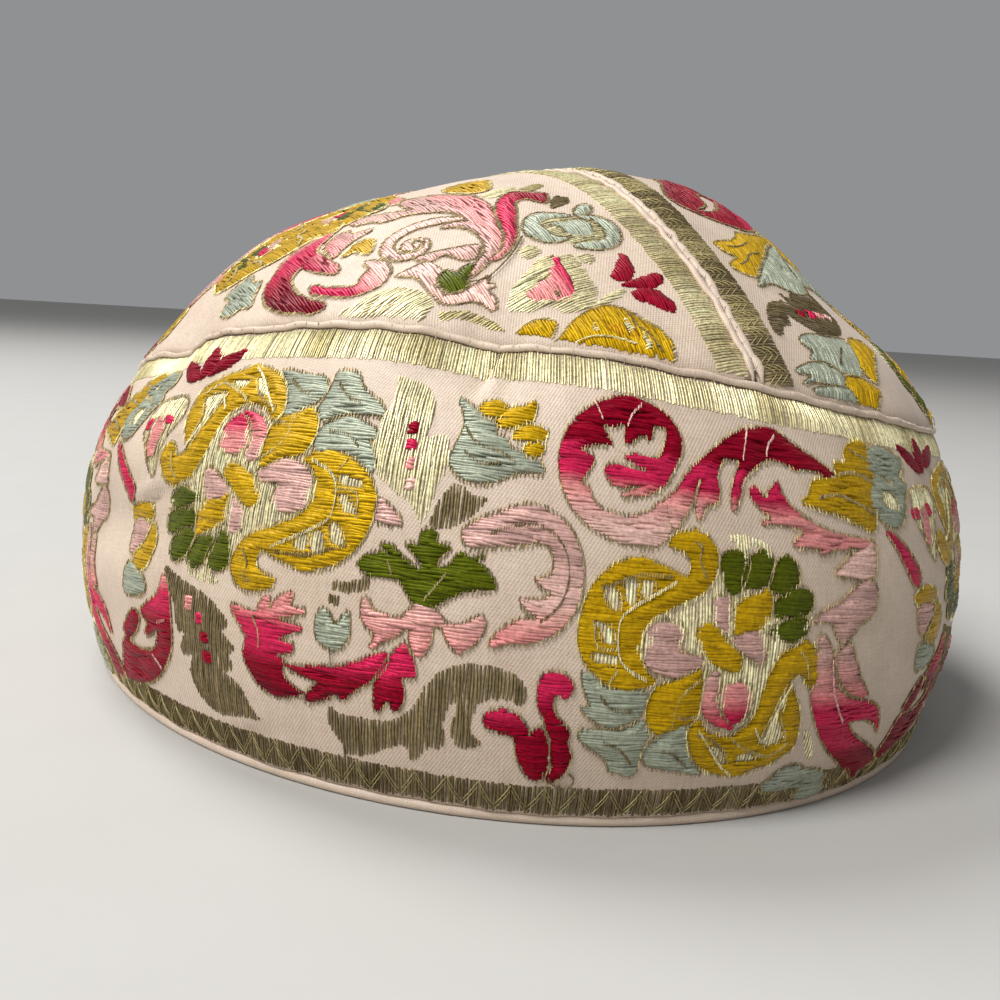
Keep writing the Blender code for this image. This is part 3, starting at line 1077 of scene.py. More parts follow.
@dataclass
class Weaver:
    """Lays floats, ticks and lines over one chart."""

    chart: ClothChart
    metal_axis: int  # the chart axis that the metal threads and the ticks run along
    keep: Callable[[Array], Array]  # which chart places lie on this cloth
    seed: int
    silk_pitch: float = 0.38
    gilt_pitch: float = 0.46
    tick_step: float = 0.60
    tick_length: float = 0.80
    line_step: float = 0.36  # the same for ticks along an open line
    line_length: float = 0.62
    longest: float = 11.0  # a float that runs on is bound down within this
    shortest: float = 0.25
    remnant: float = 0.4  # what is left of a thread at the cloth's edge is at least this
    sample: float = 3.6  # between a float's points
    base_lift: float = 0.10
    layer_lift: float = 0.11  # each layer stands this much over the one before
    end_jitter: float = 0.16
    row_jitter: float = 0.06
    overlap: float = 0.08  # a float reaches this far over its figure's line
    bound_in: float = 0.35  # share of ticks that bind a strip of gilt, and look lighter

    def __post_init__(self) -> None:
        """Starts the random draws and the lots."""
        self.random = np.random.default_rng(self.seed)
        self.silk = ThreadLot("")
        self.gilt = ThreadLot("")
        self.ticks = ThreadLot("")

    def scan(self, loops: list[Array], axis: int, pitch: float) -> Iterator[tuple[float, float, float]]:
        """Cuts evenly spaced lines by a figure's loops.

        Args:
            loops: closed outlines, even-odd.
            axis: the axis that the lines run along.
            pitch: between lines, mm.

        Yields:
            Start and end along the axis, and the place across it.
        """
        cross = 1 - axis
        low = min(loop[:, cross].min() for loop in loops)
        high = max(loop[:, cross].max() for loop in loops)
        for row in np.arange(math.ceil(low / pitch) * pitch, high, pitch):
            cuts = []
            for loop in loops:
                ahead = np.roll(loop, -1, axis=0)
                hit = (loop[:, cross] <= row) != (ahead[:, cross] <= row)
                share = (row - loop[hit, cross]) / (ahead[hit, cross] - loop[hit, cross])
                cuts.append(loop[hit, axis] + share * (ahead[hit, axis] - loop[hit, axis]))
            cut = np.sort(np.concatenate(cuts))
            yield from ((a, b, row) for a, b in zip(cut[::2], cut[1::2]) if b - a > self.shortest)

    def fill(self, figure: Figure, setting: Setting) -> None:
        """Fills a figure with floats of its thread.

        Args:
            figure: what to fill.
            setting: where its group stands.
        """
        silk = figure.make is Make.SILK
        axis = 1 - self.metal_axis if silk else self.metal_axis
        pitch = self.silk_pitch if silk else self.gilt_pitch
        lot = self.silk if silk else self.gilt
        loops = figure.loops()
        moved = [setting.move(loop) for loop in loops]
        floats = []
        for start, end, row in self.scan(moved, axis, pitch):
            pieces = max(1, math.ceil((end - start) / self.longest))
            cuts = np.linspace(start, end, pieces + 1)
            cuts[1:-1] += self.random.uniform(-2, 2, pieces - 1)
            floats += [(a, b, row) for a, b in zip(cuts[:-1], cuts[1:])]
        if not floats:
            return
        table = np.array(floats)
        reach = np.array([-self.overlap, self.overlap])
        table[:, :2] += self.random.uniform(-self.end_jitter, self.end_jitter, (len(table), 2)) + reach
        table[:, 2] += self.random.uniform(-self.row_jitter, self.row_jitter, len(table))
        table = self.trim(table, axis)
        if len(table) == 0:
            return
        counts = np.maximum(3, np.ceil((table[:, 1] - table[:, 0]) / self.sample).astype(int) + 1)
        base = self.base_lift + self.layer_lift * figure.layer
        for count in np.unique(counts):
            rows = table[counts == count]
            share = np.linspace(0, 1, count)[None, :]
            places = np.empty((len(rows), count, 2))
            along = rows[:, :1] + (rows[:, 1:2] - rows[:, :1]) * share
            places[..., axis] = along
            places[..., 1 - axis] = rows[:, 2:] + self.stray(along, rows[:, 2:]) * (1.0 if silk else 0.5)
            arch = np.sin(np.pi * share) ** 0.6 * np.ones((len(rows), 1))
            full = np.clip((rows[:, 1:2] - rows[:, :1]) / 4, 0.45, 1)
            lift = base * (0.25 + 0.75 * arch) + (0.20 if silk else 0.08) * arch * full
            lift += self.random.uniform(-0.035, 0.035, (len(rows), 1))
            tint = figure.shade.at(setting.home(places))
            bundle = 1 + 0.07 * np.sin(rows[:, 2] * 1.9 + rows[:, 0] * 0.8)
            varied = self.random.normal(1.0, 0.09 if silk else 0.15, len(rows))
            tint = tint * (bundle * varied)[:, None, None]
            self.put(lot, places, lift, tint, 0.72 + 0.28 * arch)

    def trim(self, table: Array, axis: int) -> Array:
        """Cuts threads back to the part of them that lies on this cloth.

        Args:
            table: start, end and row of each thread.
            axis: the one that they run along.

        Returns:
            The same for the threads that are left.
        """
        probe = np.linspace(0, 1, 12)
        tried = np.empty((len(table), len(probe), 2))
        span = table[:, 1] - table[:, 0]
        tried[..., axis] = table[:, :1] + span[:, None] * probe
        tried[..., 1 - axis] = table[:, 2:]
        kept = self.keep(tried)
        first, last = probe[kept.argmax(axis=1)], probe[::-1][kept[:, ::-1].argmax(axis=1)]
        cut = np.stack([table[:, 0] + span * first, table[:, 0] + span * last, table[:, 2]], axis=1)
        return cut[kept.any(axis=1) & (span * (last - first) > self.remnant)]

    def stray(self, along: Array, row: Array) -> Array:
        """How far floats stray from their rows, mm, so that neighbours bunch together."""
        wide = np.sin(2.3 * row + 0.55 * along + 1.1) * 0.13
        fine = np.sin(5.1 * row - 0.9 * along + 0.4 * np.sin(0.7 * along)) * 0.08
        return wide + fine + self.random.uniform(-0.05, 0.05, along.shape)

    def put(self, lot: ThreadLot, places: Array, lift: Array, tint: Array, girth: Array) -> None:
        """Lays threads given on the chart."""
        first, second = places[..., 0], places[..., 1]
        lot.lay(self.chart.place(first, second, lift), self.chart.facing(first, second), tint, girth)

    def edge(
        self, loop: Array, closed: bool, silk: Silk, outside: float = 0.22, height: float = 0.24
    ) -> None:
        """Lays short ticks along a line, as the binding threads round a figure.

        Args:
            loop: the line on the chart.
            closed: whether it joins up.
            silk: the ticks' colour.
            outside: how far from the line their middles stand, mm.
            height: above the cloth, mm.
        """
        ahead = np.roll(loop, -1, axis=0) if closed else loop[1:]
        here = loop if closed else loop[:-1]
        span = ahead - here
        length = np.linalg.norm(span, axis=1)
        total = length.sum()
        sizes = (self.tick_step, self.tick_length), (self.line_step, self.line_length)
        step, span_mm = sizes[0] if closed else sizes[1]
        count = max(2, int(total / step))
        marks = (np.arange(count) + self.random.uniform(-0.2, 0.2, count)) * total / count
        marks = np.clip(marks, 0, total - 1e-6)
        reach = np.concatenate([[0], np.cumsum(length)])
        part = np.clip(np.searchsorted(reach, marks, side="right") - 1, 0, len(length) - 1)
        share = ((marks - reach[part]) / np.maximum(length[part], 1e-9))[:, None]
        middle = here[part] + span[part] * share
        way = span[part] / np.maximum(length[part], 1e-9)[:, None]
        out = np.stack([way[:, 1], -way[:, 0]], axis=1)
        if closed and np.sum(here[:, 0] * ahead[:, 1] - here[:, 1] * ahead[:, 0]) < 0:
            out = -out
        middle = middle + out * outside
        inside = self.keep(middle)
        middle, way = middle[inside], way[inside]
        if len(middle) == 0:
            return
        run = np.zeros_like(middle)
        run[:, self.metal_axis] = np.where(way[:, self.metal_axis] < 0, -1.0, 1.0)
        run = run * 0.78 + way * 0.22
        run /= np.linalg.norm(run, axis=1, keepdims=True)
        half = span_mm / 2 * self.random.uniform(0.7, 1.25, len(middle))[:, None]
        places = np.stack([middle - run * half, middle + run * half], axis=1)
        lift = np.full((len(middle), 2), height) + self.random.uniform(-0.05, 0.05, (len(middle), 2))
        tint = LINEAR[silk] * self.random.normal(1.0, 0.2, (len(middle), 1, 1)) * np.ones((1, 2, 1))
        if closed:
            tint[self.random.random(len(tint)) < self.bound_in] *= 1.7
        self.put(self.ticks, places, lift, tint, np.full(lift.shape, 0.85))

    def weave(self, figures: Sequence[Figure], settings: Sequence[Setting]) -> None:
        """Weaves a group of figures at each of its settings."""
        for setting in settings:
            for figure in figures:
                if figure.make is Make.LINE:
                    line = setting.move(rounded(figure.outlines[0], closed=False))
                    self.edge(line, False, figure.shade.stops[0][1], outside=0.0, height=0.50)
                    continue
                self.fill(figure, setting)
                if figure.edged:
                    rim = Silk.BRASS if figure.shade == plain(Silk.MUSTARD) else Silk.DRAB
                    for loop in figure.loops():
                        self.edge(setting.move(loop), True, rim)


# the figures of the ribbon, charted in mm

FADES = {
    "pink_centre": "y,47=rose,49=rose,51.5=hot",
    "scroll_fade": "y,43.5=blush,48.3=rose,50.2=hot,53.4=hot,54.6=crimson",
    "leaf_fade": "y,15.5=deep,18.5=crimson,21.5=hot,24=hot,26.5=rose",
    "low_scroll_fade": "y,8=crimson,20=crimson,22.5=hot,25=hot,27=rose",
    "long_leaf_fade": "y,9=crimson,13=hot,19=hot,22=rose,28=mauve",
}
DOT_LAYER, DOT_HALF = 3, 0.9  # a dot stands on this layer, and is twice this wide, mm


def read_shade(text: str) -> Shade:
    """A shade from a silk's name, a fade's name, or an axis and stops such as "y,24=rose,31=mauve"."""
    if text.upper() in Silk.__members__:
        return plain(Silk[text.upper()])
    axis, *stops = FADES.get(text, text).split(",")
    pairs = (stop.split("=") for stop in stops)
    return Shade(tuple((float(at), Silk[name.upper()]) for at, name in pairs), "xy".index(axis))


def read_figure(entry: str) -> Figure:
    """Reads "make shade [layer] [edged | bare]: outline / hole / hole", each a row of places.

    Silk is edged and on layer 1 unless the entry says otherwise, and gilt is bare and on layer 0. A
    dot is a small check of silk, given by its middle and perhaps half its width.

    Args:
        entry: one entry of a chart.

    Returns:
        The figure.
    """
    head, body = entry.split(":")
    make, shade, *options = head.split()
    outlines = tuple(read_outline(part) for part in body.split("/"))
    if make == "dot":
        x, y, half = (*outlines[0][0], DOT_HALF)[:3]
        square = [[x - half, y - half], [x + half, y - half], [x + half, y + half], [x - half, y + half]]
        return Figure(Make.SILK, read_shade(shade), (np.array(square),), DOT_LAYER, edged=False, crisp=True)
    layer = int(options[0]) if options and options[0].isdigit() else int(make == "silk")
    edged = "edged" in options or make == "silk" and "bare" not in options
    return Figure(Make(make), read_shade(shade), outlines, layer, edged)


def read_chart(text: str) -> tuple[Figure, ...]:
    """The figures of a chart in the order that they are woven; an entry starts with a letter."""
    entries: list[str] = []
    for row in text.strip().split("\n"):
        if row[:1].isalpha():
            entries.append(row)
        else:
            entries[-1] += " " + row
    return tuple(read_figure(entry) for entry in entries)


# openings in the shell's two scrolls, which gilt fills
UPPER_WINDOWS = """
-57,55.4 -55,56.4 -52.2,56.2 -52.3,54.6 -53.2,52.6 -54.4,49.9 -55.7,47.6 -55.4,50 -55.2,52.6 / -51.4,58.8
-48.2,58.6 -48.9,57.3 -51.2,57.7 / -46.2,59.2 -44.6,58.4 -42.4,56 -44.2,56.4 -45.8,57.8"""
LOWER_WINDOWS = """
-24.4,45.6 -20.8,45.2 -21.2,44 -24.2,44.2 / -23.8,43.1 -22.2,42.6 -20.5,40.5 -21.8,40.4 -23.2,41.2 /
-24.2,39.2 -22.8,38.4 -21.6,36.4 -22.9,35.9 -24.2,37.2 / -27.2,37.4 -25.5,37.9 -25,35.2 -26.9,34.9 /
-29.7,36.5 -27.8,36.9 -27.8,34.8 -29.5,34.8"""
WINDOWS = f"{UPPER_WINDOWS} / {LOWER_WINDOWS}".split("/")
GILT_WINDOWS = "\n".join("gilt gilt: " + window for window in WINDOWS)

SHELL = read_chart(f"""
gilt gilt: -50.2,51 -48.8,52.8 -40,52 -39,46 -36,43 -34.5,43.5 -28.4,45.5 -27.9,41 -30,39 -36,36.5 -40,35
-41.5,31.5 -43,35 -47,34.5 -53,38 -58,38.5 -60,37 -57.5,40.5 -55,42 -52,44.5
{GILT_WINDOWS}
silk mustard: -57.2,48.7 -59.2,52 -59.7,55 -59.2,57.2 -56.5,58.9 -53.3,59.9 -49.3,60.9 -46,60.7 -42.7,59.8
-40,58.2 -38.6,56.2 -37.9,53.6 -39.3,52.3 -41,53.7 -43.5,54.4 -46,54.5 -48,53.5 -49.3,52.3 -50,50.3
-50.8,47.3 -52,45 -53.7,43 -56,42.2 -58,41.4 -60.3,42.2 -62,44 -62.8,45.8 -62.2,47 -60.7,47.8 -59.3,47.3
-58.6,46.2 -57.2,46 -55.8,47.3 / {UPPER_WINDOWS}
line gilt: -47.4,60.6 -44.9,58.9 -42.2,56.2 -39.4,53.4
line brass: -57.6,56.2 -54.2,58 -51,57.2 -47.8,56 -45.6,54.6
line gilt: -50.2,53.6 -52.2,55.6 -53.2,53.4 -54.5,50 -56.2,47.2
line drab: -44.4,56.4 -41.6,54.6 -39.2,54.2
line brass: -59.4,46.4 -58.5,44 -56.8,42.6
silk mustard: -30.2,47.8 -28.3,48.4 -26,48.5 -23.6,48.2 -21.3,47.1 -19.6,45.6 -18.3,43.6 -18,41.5 -18.5,39
-19.7,36.5 -21.8,34.4 -24.5,33 -27.7,32.5 -31,33 -33.8,33.8 -35,34.2 -36,33.2 -35.8,31.8 -34.5,30.9
-32.4,30.4 -33,29.2 -35,28.5 -37.4,28.2 -39.4,29 -40.6,30.8 -40.5,32.8 -39.6,34.4 -38,35.8 -35.3,37
-32.7,38 -30.3,39.2 -28.6,40.5 -28,42.7 -28.5,45 -29.8,46.4 -31,47 / {LOWER_WINDOWS}
line gilt: -29.4,47 -26.2,45.8 -24.6,44 -24.3,41 -24.9,39.4 -27,38 -30,36.5 -33.8,34.6
line brass: -24.6,46.2 -23.4,47.9
line brass: -24.6,43.4 -21.6,43.6 -20.6,42.2 -20.6,40.4
line drab: -21.4,36.4 -24.4,35.4 -27.4,34.4 -33,34.2
line drab: -38.6,33.8 -37.4,31.8 -37.8,30.2 -36.2,29.6
silk mustard 2: -39,50.5 -38.6,52.2 -36.5,53.2 -34,54 -31.5,53.9 -30.6,52.5 -30.3,50.5 -31,48.5 -32,47.6
-34.5,46.9 -37,46 -38.8,45.6 -39,48
line brass: -38.4,46.8 -36,48.6 -35,50.4 -34.8,53.6
line drab: -38.6,51.6 -36.8,51.9 -35,51.4
silk pink_centre: -48.5,50.5 -47.8,52 -46,52.6 -44,52.2 -43,50.5 -42.4,49.2 -42.8,47.6 -45,47 -47.5,47.3
-48.6,48.8
silk y,46=mauve,50=rose,53=hot 2: -46,53.3 -43,53.1 -41,52.2 -39.6,50.6 -39.5,48.6 -39.8,46.4 -41.5,45.8
-42.3,47.3 -42.2,49.3 -43.1,50.9 -44.3,52.4
silk mauve: -39,44.6 -37.5,45.8 -35,46.6 -32,46.4 -29.8,45.6 -28.8,44 -28.8,41.5 -30,40 -33,39.8
-35.2,40.4 -34.6,42.8 -35.8,43.6 -38,43.6
silk mauve: -50.2,44 -48.8,44.4 -46.5,43.4 -44,42 -43.4,41 -45.5,40.4 -48.5,40.1 -50,41
silk mauve: -43.3,40.5 -41.8,40.4 -40.2,39.2 -40,37.8 -40.2,36.2 -42.6,36 -43.2,37.3
silk mustard 2: -45.8,43.8 -45.6,45.2 -44.4,45.6 -42.5,45.2 -40,44.2 -38.2,42.2 -37.2,41 -38,40 -39.6,39.6
-41.5,40.3 -43.2,41.8 -45,43
silk mustard 2: -50.8,37.3 -50.3,38.6 -49,39.9 -46.5,40 -44,40.7 -43.6,39 -44,37.2 -46,36 -48.2,35.4
-50.2,34.8
silk leaf: -58.2,40.2 -56,41.2 -53,41 -50.4,40.2 -52.5,39 -55,38.2 -57.3,38 -58.4,39
silk leaf: -59,36.6 -57,38 -54,37.9 -51.6,38 -51.2,36.4 -53,35 -56,34.2 -58.5,34.6
silk leaf: -56,33.5 -54.8,34.8 -52,35 -50.3,34.6 -51,32.5 -52.5,30.6 -54.5,30.3 -56,31.5
silk leaf: -50.9,32 -49.8,34.2 -47.5,34.6 -45.3,34.5 -45.8,32.2 -47.5,30.2 -49.7,29.9 -51,30.6
silk leaf: -46.2,32.5 -44.6,35.3 -42.9,35.5 -41.6,33.5 -41.4,31.3 -43,30.2 -45.3,30.2 -46.4,31
gilt gilt: -51,29.4 -49.4,33 -48.6,29.6 -46.8,29.6 -45.8,33.4 -44.6,29.6 -43,28.4 -47,28.1
silk mist: -41.7,60.2 -39.3,60 -34.7,59.3 -32.7,59.3 -31,58 -31,56.7 -32.7,55 -34.7,53.7 -37.3,53
-37.7,54.7 -38.3,56.3 -39.7,58.3
silk mist: -30,60.2 -27.7,60.3 -25.7,59.8 -24.7,58.2 -22.7,57 -20.3,55.7 -19.8,54.3 -22.7,54.2 -26,54
-28.3,53.2 -29.7,52.7 -31.3,54 -30.7,56 -30.2,58.3
silk mist: -29.3,51.7 -28,52.8 -25.3,53.5 -22.3,53 -20.3,52 -19.7,51 -21,50.7 -19.7,48.7 -19.3,46.8 -21,47
-23,48.2 -26,48.7 -28.7,48.5 -30,49
line olive: -38.4,58.6 -35.4,56.8 -33.6,56.6
line olive: -28.8,58.4 -26.4,56.4 -23.6,55.6
line olive: -27.8,51.2 -24.6,51 -22.2,49.4
""")
SHELL_PIVOT = (-40.4, 44.5)
SHELL_SETTINGS = (Setting(), Setting(SHELL_PIVOT, (29.7, 26.7), (-0.82, -1.09)))

